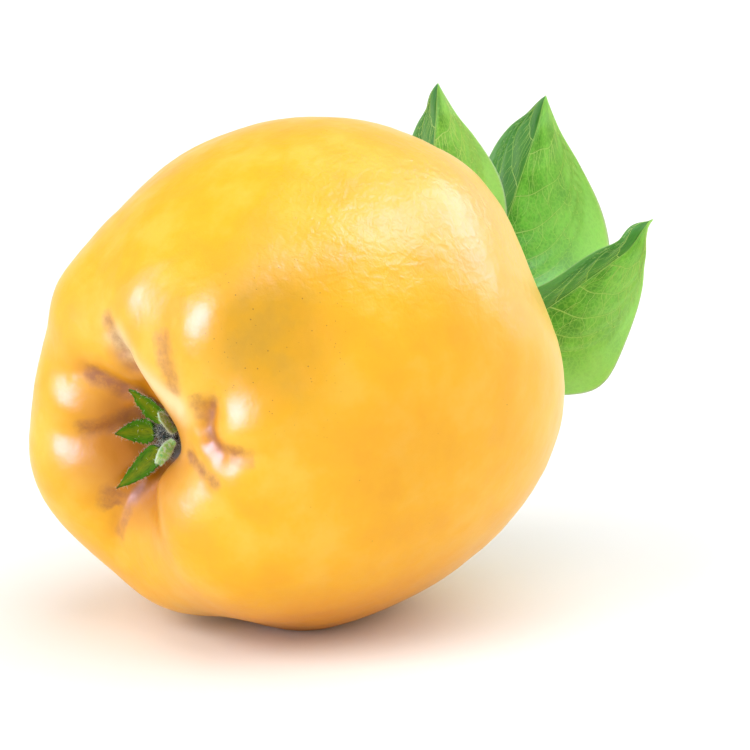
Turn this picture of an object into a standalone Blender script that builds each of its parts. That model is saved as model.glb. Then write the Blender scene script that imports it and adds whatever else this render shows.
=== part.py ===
"""A picked quince lying on its side: fruit, calyx with five sepals, leafy shoot and three leaves.

Metres, +Z up. The origin is the middle of the small flat spot that the fruit rests on. The fruit's core line
runs along Y, with the calyx towards -Y and the shoot towards +Y. Sizes below are in millimetres.
"""
import math

import bmesh
import bpy
import numpy as np
from mathutils import Matrix, Vector

MM = 0.001
GAP = 0.3            # clearance between one solid and the next
TILT = 9.0           # degrees that the calyx end dips below the core line
CENTRE = (1.0, 1.5, 46.06)   # the fruit's centre, seen from the middle of its flat spot

# ---- fruit: a turned body, with lobes, creases and swellings, in the fruit's own frame ----
# radius and height towards the calyx, from the calyx pit round to the stem pit
PROFILE = [(0, 31.2), (3.5, 31.4), (6, 33), (8.6, 36), (12.5, 39), (18.5, 40.4), (26.5, 38.0), (34.5, 31.5),
           (41.5, 20.5), (45.8, 6.5), (46.3, -8), (43.2, -21), (36.8, -32.2), (27, -40.8), (17, -45),
           (10, -45.4), (5.2, -42.8), (0, -41)]
# angle round the core, place along the profile, height, half-width in degrees, half-length along the profile
LOBES = [(157, 0.146, 1.7, 13, 0.08), (-170, 0.158, 3.3, 24, 0.07), (129, 0.225, 1.6, 13, 0.065),
         (90, 0.21, 0.9, 13, 0.05), (53, 0.246, 3.4, 18, 0.078), (14, 0.223, 2.0, 12, 0.06),
         (-4, 0.19, 1.7, 12, 0.05), (-29, 0.10, 3.4, 27, 0.083), (-50, 0.19, 3.4, 26, 0.126),
         (-101, 0.263, 2.1, 20, 0.065), (-146, 0.226, 3.4, 23, 0.16), (131, 0.288, 1.8, 20, 0.097),
         (178, 0.208, 1.3, 25, 0.10)]
SWELLS = [(33, 0.289, -1.8, 14, 0.054), (42, 0.56, 1.8, 26, 0.14), (26, 0.68, -3.0, 18, 0.12),
          (-10, 0.68, 1.6, 26, 0.14), (5, 0.73, -1.3, 25, 0.10), (-85, 0.307, -2.2, 21, 0.07),
          (148, 0.346, -2.4, 32, 0.10), (-75, 0.383, 1.1, 19, 0.086)]
# depth, half-width, and the crease's line as angles and places, from the basin outwards
CREASES = [(1.5, 3.2, [(105, 0.05), (114, 0.09), (120, 0.117), (128, 0.135), (140, 0.152), (152, 0.18)]),
           (2.7, 2.8, [(70, 0.05), (80, 0.085), (88, 0.115), (92, 0.14), (96, 0.165), (100, 0.21)]),
           (0.9, 3.4, [(40, 0.09), (46, 0.13), (52, 0.158), (60, 0.175), (66, 0.20), (70, 0.25)]),
           (2.0, 2.3, [(36, 0.20), (28, 0.172), (21, 0.161), (14, 0.160), (9, 0.172), (7, 0.20), (6, 0.27)]),
           (1.0, 2.6, [(14, 0.11), (5, 0.122), (-1, 0.137), (-7, 0.153), (-12, 0.168), (-16, 0.21)]),
           (1.3, 3.0, [(-125, 0.05), (-122, 0.085), (-119, 0.12), (-117, 0.16), (-116, 0.22)]),
           (1.0, 3.0, [(130, 0.045), (155, 0.062), (170, 0.085), (174, 0.12), (176, 0.17)])]
PROFILE_LENGTH = 158.0
CREASE_BLEND = 0.35          # how softly a crease's straight stretches join
LEAN = (-2.0, -3.0)  # how far the calyx end leans off the core line, in x and z
FRUIT_STEPS = (68, 42)       # segments round the core and rings along it

# ---- calyx, in its own frame: x as the fruit's x, y as the fruit's z, z outwards ----
CALYX_PIT = (-1.24, -31.2, -1.95)    # in the fruit's frame
CUP_RADIUS = 2.0
CUP_HEIGHT = 1.5
CUP_WALL = 0.5
CUP_FOOT = 0.55
TUFT_RADIUS = 1.1
TUFT_HEIGHT = 3.4
SEPALS = {   # midrib from foot to tip, the way the inner face looks, half-width
    "sepal_1": ([(0.2, 2.7, 2.4), (-0.6, 5.1, 3.6), (-1.7, 7.7, 5.0), (-3.0, 9.5, 6.5)],
                (0.35, -0.55, 0.75), 2.5),
    "sepal_2": ([(-2.4, 0.5, 2.4), (-4.2, 0.6, 3.1), (-6.4, 0.6, 4.8), (-8.2, 0.5, 7.0)],
                (0.55, 0.0, 0.80), 2.6),
    "sepal_3": ([(-1.7, -2.5, 2.5), (-3.0, -4.8, 3.8), (-5.1, -7.1, 6.2), (-7.0, -8.9, 9.4)],
                (0.45, 0.45, 0.75), 2.2),
    "sepal_4": ([(2.7, 1.4, 2.5), (3.2, 2.8, 3.4), (3.8, 4.4, 4.8), (4.1, 5.6, 6.6)],
                (-0.70, -0.30, 0.40), 1.7),
    "sepal_5": ([(2.5, -0.7, 2.9), (3.0, -1.1, 4.5), (3.3, -1.9, 6.1), (3.3, -3.4, 7.6)],
                (-0.75, -0.20, -0.50), 1.25),
}
SEPAL_HALF_THICKNESS = 0.25

# ---- shoot and leaves, in the fruit's frame ----
SHOOT_PATH = [(0, 43.4, 0), (-2.2, 47.6, -2.1), (-5.1, 51.2, -5.8), (-6.7, 54.2, -9.0), (-7.8, 56.6, -12.6),
              (-8.5, 58.6, -17.5)]
SHOOT_RADII = [2.2, 2.1, 2.3, 2.3, 2.3, 1.9]
LEAVES = {   # midrib control points, the way the upper face looks, half-width, petiole share, folds, widest, hook
    "leaf_1": ([(-8.2, 53.0, -6.4), (-14.4, 56.5, -7.7), (-17.7, 57.8, 17.2), (-13.0, 60.9, 40.1)],
               (0.21, -0.91, 0.35), 14.8, 0.20, (-30, -32, -14), 0.50, (-0.1, -0.3, 1.3)),
    "leaf_2": ([(-8.1, 57.2, -8.9), (-16.7, 69.8, -11.2), (-16.7, 82.7, 7.8), (-4.9, 85.1, 33.5)],
               (0.22, -0.85, 0.49), 25.0, 0.15, (-22, -34, -20), 0.38, (-0.3, -0.3, 0.6)),
    "leaf_3": ([(-5.3, 58.6, -12.0), (-2.6, 59.2, -13.2), (8.7, 70.4, -3.2), (24.2, 77.6, 8.3)],
               (0.83, -0.44, -0.31), 21.0, 0.12, (16, 38, 20), 0.38, (0.6, 1.3, 3.3)),
}
BLADE_HALF_THICKNESS = 0.42
PETIOLE_RADIUS = 0.95
EDGE_CURL = 0.0035   # how fast a blade's edges bend back, per millimetre
TIP_TAPER = 0.22     # share of the width that the drawn-out tip loses
LEAF_STEPS = (16, 30)
SEPAL_STEPS = (12, 14)


def smoothstep(x):
    """A smooth ramp from 0 to 1."""
    x = np.clip(x, 0, 1)
    return x * x * (3 - 2 * x)


def unit(v):
    """Rows of v at length 1."""
    return v / (np.linalg.norm(v, axis=-1, keepdims=True) + 1e-12)


def turn(a, b):
    """Angle from b to a, in degrees from -180 to 180."""
    return (a - b + 180) % 360 - 180


def along_profile(t):
    """Points of a smooth curve through PROFILE, mirrored past the core line so that both pits are round."""
    p = np.asarray(PROFILE, float)
    chord = np.r_[0, np.cumsum(np.hypot(*np.diff(p, axis=0).T))]
    chord /= chord[-1]
    q = np.vstack([p[1] * [-1, 1], p, p[-2] * [-1, 1]])
    k = np.r_[-chord[1], chord, 2 - chord[-2]]
    i = np.clip(np.searchsorted(chord, t, side="right") - 1, 0, len(p) - 2)
    h = k[i + 2] - k[i + 1]
    slope_in = (q[i + 2] - q[i]) / (k[i + 2] - k[i])[:, None]
    slope_out = (q[i + 3] - q[i + 1]) / (k[i + 3] - k[i + 1])[:, None]
    x = ((t - k[i + 1]) / h)[:, None]
    h = h[:, None]
    return ((2 * x**3 - 3 * x**2 + 1) * q[i + 1] + (x**3 - 2 * x**2 + x) * h * slope_in
            + (-2 * x**3 + 3 * x**2) * q[i + 2] + (x**3 - x**2) * h * slope_out)


def crease_depth(along, around):
    """How deep the creases are at places on the skin."""
    radius = np.maximum(along_profile(along)[:, 0], 2.0)
    total = np.zeros(len(along))
    for depth, width, line in CREASES:
        near, run = np.zeros(len(along)), np.zeros(len(along))
        for i, ((a0, s0), (a1, s1)) in enumerate(zip(line, line[1:])):
            x, y = np.radians(turn(around, a0)) * radius, (along - s0) * PROFILE_LENGTH
            dx, dy = np.radians(a1 - a0) * radius, (s1 - s0) * PROFILE_LENGTH
            share = np.clip((x * dx + y * dy) / (dx * dx + dy * dy), 0, 1)
            close = np.exp(-np.hypot(x - share * dx, y - share * dy) / CREASE_BLEND)
            near, run = near + close, run + close * (i + share)
        near = near + 1e-300
        run = run / near / (len(line) - 1)
        distance = np.maximum(-CREASE_BLEND * np.log(near), 0)
        total += depth * smoothstep(run / 0.2) * smoothstep((1 - run) / 0.45) * np.exp(-(distance / width)**1.5)
    return total


def fruit_surface(along, around):
    """The fruit's skin in its own frame: along is 0 at the calyx pit and 1 at the stem pit."""
    p = along_profile(along)
    step = 1e-3
    d = along_profile(np.clip(along + step, 0, 1)) - along_profile(np.clip(along - step, 0, 1))
    normal = unit(np.stack([-d[:, 1], d[:, 0]], 1))
    lift = np.zeros(len(along))
    for angle, place, height, width, length in LOBES + SWELLS:
        lift += height * np.exp(-(turn(around, angle) / width)**2 - ((along - place) / length)**2)
    lift -= crease_depth(along, around)
    lift *= smoothstep(along / 0.09) * smoothstep((1 - along) / 0.05)
    p = p + normal * lift[:, None]
    f = np.radians(around)
    lean = smoothstep((p[:, 1] + 10) / 50)
    return np.stack([p[:, 0] * np.cos(f) + LEAN[0] * lean, -p[:, 1], p[:, 0] * np.sin(f) + LEAN[1] * lean], 1)


def bezier(points, t):
    """A Bezier curve through its control points' hull, by repeated halving of the control lines."""
    p = [np.tile(np.asarray(q, float), (len(t), 1)) for q in points]
    t = t[:, None]
    while len(p) > 1:
        p = [a * (1 - t) + b * t for a, b in zip(p, p[1:])]
    return p[0]


def leaf_surface(along, around, midrib, face, width, petiole, folds, widest, hook, radius, thickness):
    """A leaf's skin: an oval section carried along its midrib, round in the petiole and thin in the blade."""
    step = 1e-3
    p = bezier(midrib, along)
    tangent = unit(bezier(midrib, np.clip(along + step, 0, 1)) - bezier(midrib, np.clip(along - step, 0, 1)))
    upper = np.asarray(face, float)
    upper = unit(upper - (tangent @ upper)[:, None] * tangent)
    side = np.cross(tangent, upper)
    u = np.clip((along - petiole) / (1 - petiole), 0, 1)
    blade = width * (u / widest)**(widest / (1 - widest)) * (1 - u) / (1 - widest)
    blade = blade * (1 - TIP_TAPER * smoothstep((u - 0.84) / 0.16))
    cap = np.sqrt(np.clip(along / 0.02, 0, 1)) * np.sqrt(np.clip((1 - along) / 0.02, 0, 1))
    stalk = radius * cap * (1 - 0.75 * smoothstep(u))
    half_width = (blade**3 + stalk**3)**(1 / 3)
    half_height = (thickness + (radius - thickness) * (1 - smoothstep(u / 0.12))) * cap
    a = np.cos(around) * half_width
    b = np.sin(around) * half_height
    tip_fold, middle_fold, foot_fold = folds
    fold = np.radians(tip_fold + (middle_fold - tip_fold) * smoothstep((1 - along) / 0.35)
                      + (foot_fold - middle_fold) * smoothstep((0.65 - along) / 0.4))
    flat = smoothstep(u / 0.12)
    rise = flat * (np.abs(a) * np.sin(fold) - EDGE_CURL * a * a)
    run = a * (1 - flat * (1 - np.cos(fold)))
    p = p + np.asarray(hook, float) * (smoothstep((along - 0.90) / 0.10) * along)[:, None]
    return p + side * run[:, None] + upper * (rise + b)[:, None]


def link(obj, name, collection, parent=None):
    """Names an object, puts it in a collection and parents it."""
    obj.name = name
    collection.objects.link(obj)
    obj.parent = parent
    return obj


def mapped_sphere(name, steps, surface, material, collection, parent):
    """A closed ball of rings and segments, whose points are moved to surface(along, around in radians)."""
    bm = bmesh.new()
    bmesh.ops.create_uvsphere(bm, u_segments=steps[0], v_segments=steps[1], radius=1)
    co = np.array([v.co for v in bm.verts])
    along = np.arccos(np.clip(co[:, 2], -1, 1)) / math.pi
    around = np.arctan2(co[:, 1], co[:, 0])
    for vert, place in zip(bm.verts, surface(along, around)):
        vert.co = Vector(place) * MM
    mesh = bpy.data.meshes.new(name)
    bm.to_mesh(mesh)
    bm.free()
    mesh.shade_smooth()
    mesh.materials.append(material)
    return link(bpy.data.objects.new(name, mesh), name, collection, parent)


def turned(name, outline, steps, material, collection, parent):
    """A solid of revolution about local Z: the outline runs down its outer side, from the axis to the axis."""
    mesh = bpy.data.meshes.new(name)
    mesh.from_pydata([(r * MM, 0, z * MM) for r, z in outline], [(i, i + 1) for i in range(len(outline) - 1)], [])
    obj = link(bpy.data.objects.new(name, mesh), name, collection, parent)
    screw = obj.modifiers.new("turn", "SCREW")
    screw.steps = screw.render_steps = steps
    screw.use_merge_vertices = True
    screw.merge_threshold = 0.00001
    screw.use_smooth_shade = True
    mesh.materials.append(material)
    return obj


def finish(name, colour, roughness):
    """A plain finish for one kind of surface."""
    material = bpy.data.materials.new(name)
    material.use_nodes = True
    shader = material.node_tree.nodes["Principled BSDF"]
    shader.inputs["Base Color"].default_value = (*colour, 1)
    shader.inputs["Roughness"].default_value = roughness
    shader.inputs["Metallic"].default_value = 0
    return material


def fruit_skin():
    """Ripe golden skin."""
    return finish("quince_skin", (0.90, 0.47, 0.04), 0.35)


def sepal_green():
    """Dark green sepals with a little wool."""
    return finish("sepal_green", (0.12, 0.22, 0.01), 0.6)


def withered_brown():
    """Dry remains of the flower."""
    return finish("withered_calyx", (0.09, 0.06, 0.03), 0.8)


def shoot_bark():
    """Woolly bark of the young shoot."""
    return finish("shoot_bark", (0.16, 0.12, 0.05), 0.75)


def leaf_green():
    """Fresh green blades."""
    return finish("leaf_green", (0.07, 0.28, 0.02), 0.5)


def ground_cutter(collection):
    """The block whose top is the surface that the fruit rests on."""
    bm = bmesh.new()
    bmesh.ops.create_cube(bm, size=1, matrix=Matrix.Diagonal((0.08, 0.08, 0.02, 1)))
    mesh = bpy.data.meshes.new("rest_surface")
    bm.to_mesh(mesh)
    bm.free()
    cutter = link(bpy.data.objects.new("rest_surface", mesh), "rest_surface", collection)
    cutter.location = (0, 0, -0.01)
    cutter.hide_render = True
    cutter.display_type = "WIRE"
    return cutter


def make_fruit(collection, cutters, core):
    """The fruit, with its flat spot cut level by the surface that it rests on."""
    fruit = mapped_sphere("fruit", FRUIT_STEPS, lambda s, a: fruit_surface(s, np.degrees(a)), fruit_skin(),
                          collection, core)
    cut = fruit.modifiers.new("flat_spot", "BOOLEAN")
    cut.operation = "DIFFERENCE"
    cut.object = ground_cutter(cutters)
    return fruit


def make_calyx(collection, core):
    """The cup, the withered tuft inside it and the five sepals round it."""
    calyx = link(bpy.data.objects.new("calyx_axis", None), "calyx_axis", collection, core)
    calyx.location = Vector(CALYX_PIT) * MM
    calyx.rotation_euler.x = math.radians(90)
    top = CUP_FOOT + CUP_HEIGHT
    inner = CUP_RADIUS - CUP_WALL
    floor = CUP_FOOT + CUP_WALL
    cup = [(0, floor), (inner - 0.2, floor), (inner, floor + 0.2), (inner, top), (CUP_RADIUS, top),
           (CUP_RADIUS, CUP_FOOT + 0.4), (CUP_RADIUS - 0.5, CUP_FOOT), (0, CUP_FOOT)]
    turned("calyx_cup", cup, 24, withered_brown(), collection, calyx)
    foot = floor + GAP
    tuft = [(0, foot + TUFT_HEIGHT), (TUFT_RADIUS * 0.6, foot + TUFT_HEIGHT * 0.9),
            (TUFT_RADIUS, foot + TUFT_HEIGHT * 0.6), (TUFT_RADIUS * 0.7, foot), (0, foot)]
    turned("dried_stamens", tuft, 16, withered_brown(), collection, calyx)
    green = sepal_green()
    for name, (midrib, face, width) in SEPALS.items():
        mapped_sphere(name, SEPAL_STEPS,
                      lambda s, a: leaf_surface(s, a, midrib, face, width, 0.0, (8, 8, 8), 0.32, (0, 0, 0),
                                                0.8, SEPAL_HALF_THICKNESS),
                      green, collection, calyx)


def make_shoot(collection, core):
    """The short leafy shoot that the fruit grew at the end of."""
    curve = bpy.data.curves.new("twig", "CURVE")
    curve.dimensions = "3D"
    curve.bevel_depth = MM
    curve.bevel_resolution = 3
    curve.resolution_u = 4
    curve.use_fill_caps = True
    spline = curve.splines.new("BEZIER")
    spline.bezier_points.add(len(SHOOT_PATH) - 1)
    for point, place, radius in zip(spline.bezier_points, SHOOT_PATH, SHOOT_RADII):
        point.co = Vector(place) * MM
        point.handle_left_type = point.handle_right_type = "AUTO"
        point.radius = radius
    curve.materials.append(shoot_bark())
    return link(bpy.data.objects.new("twig", curve), "twig", collection, core)


def make_leaves(collection, core):
    """Three leaves, each a petiole and a blade folded along its midrib."""
    green = leaf_green()
    for name, (midrib, face, width, petiole, folds, widest, hook) in LEAVES.items():
        mapped_sphere(name, LEAF_STEPS,
                      lambda s, a: leaf_surface(s, a, midrib, face, width, petiole, folds, widest, hook,
                                                PETIOLE_RADIUS, BLADE_HALF_THICKNESS),
                      green, collection, core)


def main():
    """Clears the file and builds the quince."""
    for obj in list(bpy.data.objects):
        bpy.data.objects.remove(obj)
    scene = bpy.context.scene.collection
    quince = bpy.data.collections.new("quince")
    cutters = bpy.data.collections.new("quince_cutters")
    scene.children.link(quince)
    scene.children.link(cutters)
    core = link(bpy.data.objects.new("core_line", None), "core_line", quince)
    core.location = Vector(CENTRE) * MM
    core.rotation_euler.x = math.radians(TILT)
    make_fruit(quince, cutters, core)
    make_calyx(quince, core)
    make_shoot(quince, core)
    make_leaves(quince, core)


main()
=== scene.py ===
"""The looks of a picked quince, its calyx, a stub of leafy shoot and three leaves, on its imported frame."""
import logging
import math
from dataclasses import dataclass
from enum import Enum
from typing import Sequence

import bpy
import numpy as np
from bpy.types import Material, Mesh, Node, NodeOutputs, NodeSocket, NodeTree, Object
from mathutils import Matrix, Vector, noise


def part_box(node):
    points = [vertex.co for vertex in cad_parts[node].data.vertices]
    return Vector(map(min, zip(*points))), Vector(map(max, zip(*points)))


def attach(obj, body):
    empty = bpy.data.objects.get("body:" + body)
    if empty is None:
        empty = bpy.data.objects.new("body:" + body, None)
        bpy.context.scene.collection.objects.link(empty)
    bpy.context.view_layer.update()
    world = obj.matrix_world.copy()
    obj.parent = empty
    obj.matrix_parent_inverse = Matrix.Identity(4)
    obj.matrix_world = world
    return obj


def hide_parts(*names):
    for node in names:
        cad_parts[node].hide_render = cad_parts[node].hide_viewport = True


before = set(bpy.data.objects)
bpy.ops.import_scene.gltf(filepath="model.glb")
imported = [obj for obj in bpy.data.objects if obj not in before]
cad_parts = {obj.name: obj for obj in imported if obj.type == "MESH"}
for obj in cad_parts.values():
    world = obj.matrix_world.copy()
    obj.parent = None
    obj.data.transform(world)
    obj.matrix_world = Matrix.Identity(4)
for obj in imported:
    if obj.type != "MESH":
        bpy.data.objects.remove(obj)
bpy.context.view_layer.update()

LOG = logging.getLogger("quince")
MM = 0.001
TILT = 9.0           # degrees that the calyx end dips below level
BLENDED = {"output": 2, "data_type": "RGBA"}      # a Mix node's output and setting when it blends colours

Triple = tuple[float, float, float]
Array = np.ndarray


# ---- numbers and curves ----


def smoothstep(x: Array) -> Array:
    """A smooth ramp from 0 to 1 where x runs from 0 to 1."""
    x = np.clip(x, 0, 1)
    return x * x * (3 - 2 * x)


def unit(v: Array) -> Array:
    """The rows of v, each at length 1."""
    return v / (np.linalg.norm(v, axis=-1, keepdims=True) + 1e-12)


def turn(a: Array, b: Array | float) -> Array:
    """The angle from b to a, in degrees from -180 to 180."""
    return (a - b + 180) % 360 - 180


def bezier(points: Sequence[Triple], t: Array) -> Array:
    """Points of a Bezier curve.

    Args:
        points: its control points, in millimetres.
        t: places along it, from 0 to 1.

    Returns:
        One row of x, y, z for each place.
    """
    rows = [np.tile(np.asarray(q, float), (len(t), 1)) for q in points]
    t = t[:, None]
    while len(rows) > 1:
        rows = [a * (1 - t) + b * t for a, b in zip(rows, rows[1:])]
    return rows[0]


def ripple(places: Array, wavelength: float, octaves: int, seed: float) -> Array:
    """Smooth unevenness, about -1 to 1.

    Args:
        places: rows of x, y, z in millimetres.
        wavelength: the size of its largest waves, in millimetres.
        octaves: how many finer layers it has.
        seed: an offset that picks one pattern.

    Returns:
        One value for each row.
    """
    offset = Vector((seed, -seed, 2 * seed))
    return np.array([noise.fractal(Vector(p) / wavelength + offset, 1.0, 2.0, octaves) for p in places])


# ---- meshes, nodes and materials ----


def linear(code: str) -> tuple[float, float, float, float]:
    """Turns an sRGB hex colour into the linear values that a shader takes.

    Args:
        code: six hex digits after a #.

    Returns:
        Red, green, blue and an alpha of 1.
    """
    channels = [int(code[i:i + 2], 16) / 255 for i in (1, 3, 5)]
    r, g, b = [c / 12.92 if c <= 0.04045 else ((c + 0.055) / 1.055)**2.4 for c in channels]
    return r, g, b, 1.0


def per_mm(size: float) -> float:
    """The scale of a texture on coordinates in metres, for a pattern of this size in millimetres."""
    return 1 / (size * MM)


def add_node(tree: NodeTree, kind: str, inputs: dict | None = None, output: int | str = 0,
             stops: Sequence[tuple[float, str]] = (), **settings: object) -> NodeSocket | None:
    """Adds one node to a shader or geometry tree, with its settings and links.

    Args:
        tree: the tree that gets the node.
        kind: the node's type name.
        inputs: socket name or number to a constant, or to the output socket that feeds it.
        output: which of the node's outputs is wanted.
        stops: for a colour ramp, its places from 0 to 1 in order, each with its sRGB hex colour.
        settings: the node's own properties.

    Returns:
        The wanted output socket, or None for a node that has no outputs.
    """
    node = tree.nodes.new(kind)
    for name, value in settings.items():
        setattr(node, name, value)
    for key, value in (inputs or {}).items():
        if isinstance(value, NodeSocket):
            tree.links.new(value, node.inputs[key])
        else:
            node.inputs[key].default_value = value
    for _ in stops[2:]:
        node.color_ramp.elements.new(1.0)
    for i, (place, code) in enumerate(stops):
        node.color_ramp.elements[i].position = place
        node.color_ramp.elements[i].color = linear(code)
    return node.outputs[output] if len(node.outputs) else None


def new_material(name: str, values: dict) -> tuple[Material, NodeTree, Node]:
    """Makes a material with a Principled shader.

    Args:
        name: the material's common name.
        values: socket name to a number or colour that is the same all over the surface.

    Returns:
        The material, its node tree and the shader node.
    """
    material = bpy.data.materials.new(name)
    material.use_nodes = True
    shader = material.node_tree.nodes["Principled BSDF"]
    for key, value in values.items():
        shader.inputs[key].default_value = value
    return material, material.node_tree, shader


def mesh_object(name: str, mesh: Mesh, finish: Material | None = None) -> Object:
    """Puts a mesh in the scene as an object at the origin, with its finish unless it has one."""
    mesh.name = name
    if finish:
        mesh.materials.append(finish)
    piece = bpy.data.objects.new(name, mesh)
    bpy.context.scene.collection.objects.link(piece)
    return piece


def ball(name: str, segments: int, rings: int) -> tuple[Mesh, Array, Array]:
    """Makes a closed ball, whose points are then moved to a surface.

    Its faces always come in the same order, so that what is scattered over them is the same each time.

    Args:
        name: the mesh's name.
        segments: steps round it.
        rings: steps from pole to pole.

    Returns:
        The mesh, and for each point its place from pole to pole (0 to 1) and its angle round (radians).
    """
    along = np.r_[0, np.repeat(np.arange(1, rings) / rings, segments), 1]
    angles = np.arange(segments) * 2 * math.pi / segments
    angle = np.r_[0, np.tile(np.where(angles > math.pi, angles - 2 * math.pi, angles), rings - 1), 0]
    steps = [(j, (j + 1) % segments) for j in range(segments)]
    end, final = len(along) - 1, 1 + (rings - 2) * segments
    faces = [(0, 1 + j, 1 + k) for j, k in steps]
    faces += [(ring + j, ring + segments + j, ring + segments + k, ring + k)
              for ring in range(1, final, segments) for j, k in steps]
    faces += [(end, final + k, final + j) for j, k in steps]
    mesh = bpy.data.meshes.new(name)
    mesh.from_pydata([(0, 0, 0)] * len(along), [], faces)
    mesh.shade_smooth()
    return mesh, along, angle


def set_points(mesh: Mesh, places: Array) -> None:
    """Moves the mesh's points to these places, in metres."""
    mesh.vertices.foreach_set("co", places.astype(np.float32).ravel())
    mesh.update()


def set_values(mesh: Mesh, **masks: Array) -> None:
    """Stores masks on a mesh by name, each with one number for each point."""
    for name, values in masks.items():
        mesh.attributes.new(name, "FLOAT", "POINT").data.foreach_set("value", values.astype(np.float32))


def set_uv(mesh: Mesh, uv: Array) -> None:
    """Stores a UV map, in metres along and across the surface, from one row for each point."""
    corners = np.empty(len(mesh.loops), np.int32)
    mesh.loops.foreach_get("vertex_index", corners)
    mesh.uv_layers.new(name="UVMap").data.foreach_set("uv", uv[corners].astype(np.float32).ravel())


def placed(points: Array, frame_of: Matrix) -> Array:
    """Takes points in millimetres in their own frame to the row frame, in metres."""
    m = np.array(frame_of)
    return points * MM @ m[:3, :3].T + m[:3, 3]


def finish_piece(piece: Object, node: str) -> Object:
    """Ties a finished piece to the frame.

    Args:
        piece: the piece, at the origin.
        node: the CAD node that it stands for.

    Returns:
        The same piece.
    """
    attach(piece, "root")
    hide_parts(node)
    LOG.info("%s: %d points, for %s", piece.name, len(piece.data.vertices), node)
    return piece


# ---- geometry node trees ----


def open_tree(name: str, inputs: Sequence[tuple[str, str]]) -> tuple[NodeTree, NodeOutputs]:
    """Starts a geometry tree that is given a mesh and gives one back.

    Args:
        name: the tree's name.
        inputs: each further input's name, and the kind of value that it takes.

    Returns:
        The tree, and the sockets that carry what it is given.
    """
    tree = bpy.data.node_groups.new(name, "GeometryNodeTree")
    for socket, kind in (("Geometry", "Geometry"), *inputs):
        tree.interface.new_socket(name=socket, in_out="INPUT", socket_type="NodeSocket" + kind)
    tree.interface.new_socket(name="Geometry", in_out="OUTPUT", socket_type="NodeSocketGeometry")
    return tree, add_node(tree, "NodeGroupInput").node.outputs


def close_tree(tree: NodeTree, shape: NodeSocket, material: Material) -> None:
    """Ends a geometry tree with its shape as real geometry of one finish."""
    shape = add_node(tree, "GeometryNodeRealizeInstances", {"Geometry": shape})
    shape = add_node(tree, "GeometryNodeSetMaterial", {"Geometry": shape, "Material": material})
    add_node(tree, "NodeGroupOutput", {"Geometry": shape})


class Sweep:
    """Ribs swept along the edges of a mesh, thinner where the points' weight is lower."""

    def __init__(self, name: str, material: Material) -> None:
        """Builds the tree, with its radius and number of sides as inputs."""
        self.tree, given = open_tree(name, (("Radius", "Float"), ("Sides", "Int")))
        lines = add_node(self.tree, "GeometryNodeMeshToCurve", {"Mesh": given["Geometry"]})
        ring = add_node(self.tree, "GeometryNodeCurvePrimitiveCircle", {"Resolution": given["Sides"],
                                                                        "Radius": given["Radius"]})
        weight = add_node(self.tree, "GeometryNodeInputNamedAttribute", {"Name": "weight"}, data_type="FLOAT")
        ribs = add_node(self.tree, "GeometryNodeCurveToMesh", {"Curve": lines, "Profile Curve": ring,
                                                               "Scale": weight, "Fill Caps": True})
        ribs = add_node(self.tree, "GeometryNodeSetShadeSmooth", {"Geometry": ribs})
        close_tree(self.tree, ribs, material)

    def grow(self, name: str, lines: Sequence[tuple[Array, Array]], radius: float,
             sides: int) -> Object:
        """Sweeps a rib along each line.

        Args:
            name: the new piece's name.
            lines: for each rib its points in metres, and the weight of each point.
            radius: the radius where the weight is 1, in millimetres.
            sides: the number of sides of a rib's section.

        Returns:
            The ribs as one mesh object.
        """
        mesh = bpy.data.meshes.new(name)
        ends = np.cumsum([len(points) for points, _ in lines])
        edges = [(i, i + 1) for i in range(ends[-1] - 1) if i + 1 not in set(ends)]
        mesh.from_pydata(np.vstack([points for points, _ in lines]).tolist(), edges, [])
        set_values(mesh, weight=np.concatenate([weight for _, weight in lines]))
        return evaluated(name, mesh, self.tree, {"Radius": radius * MM, "Sides": sides})


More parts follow.
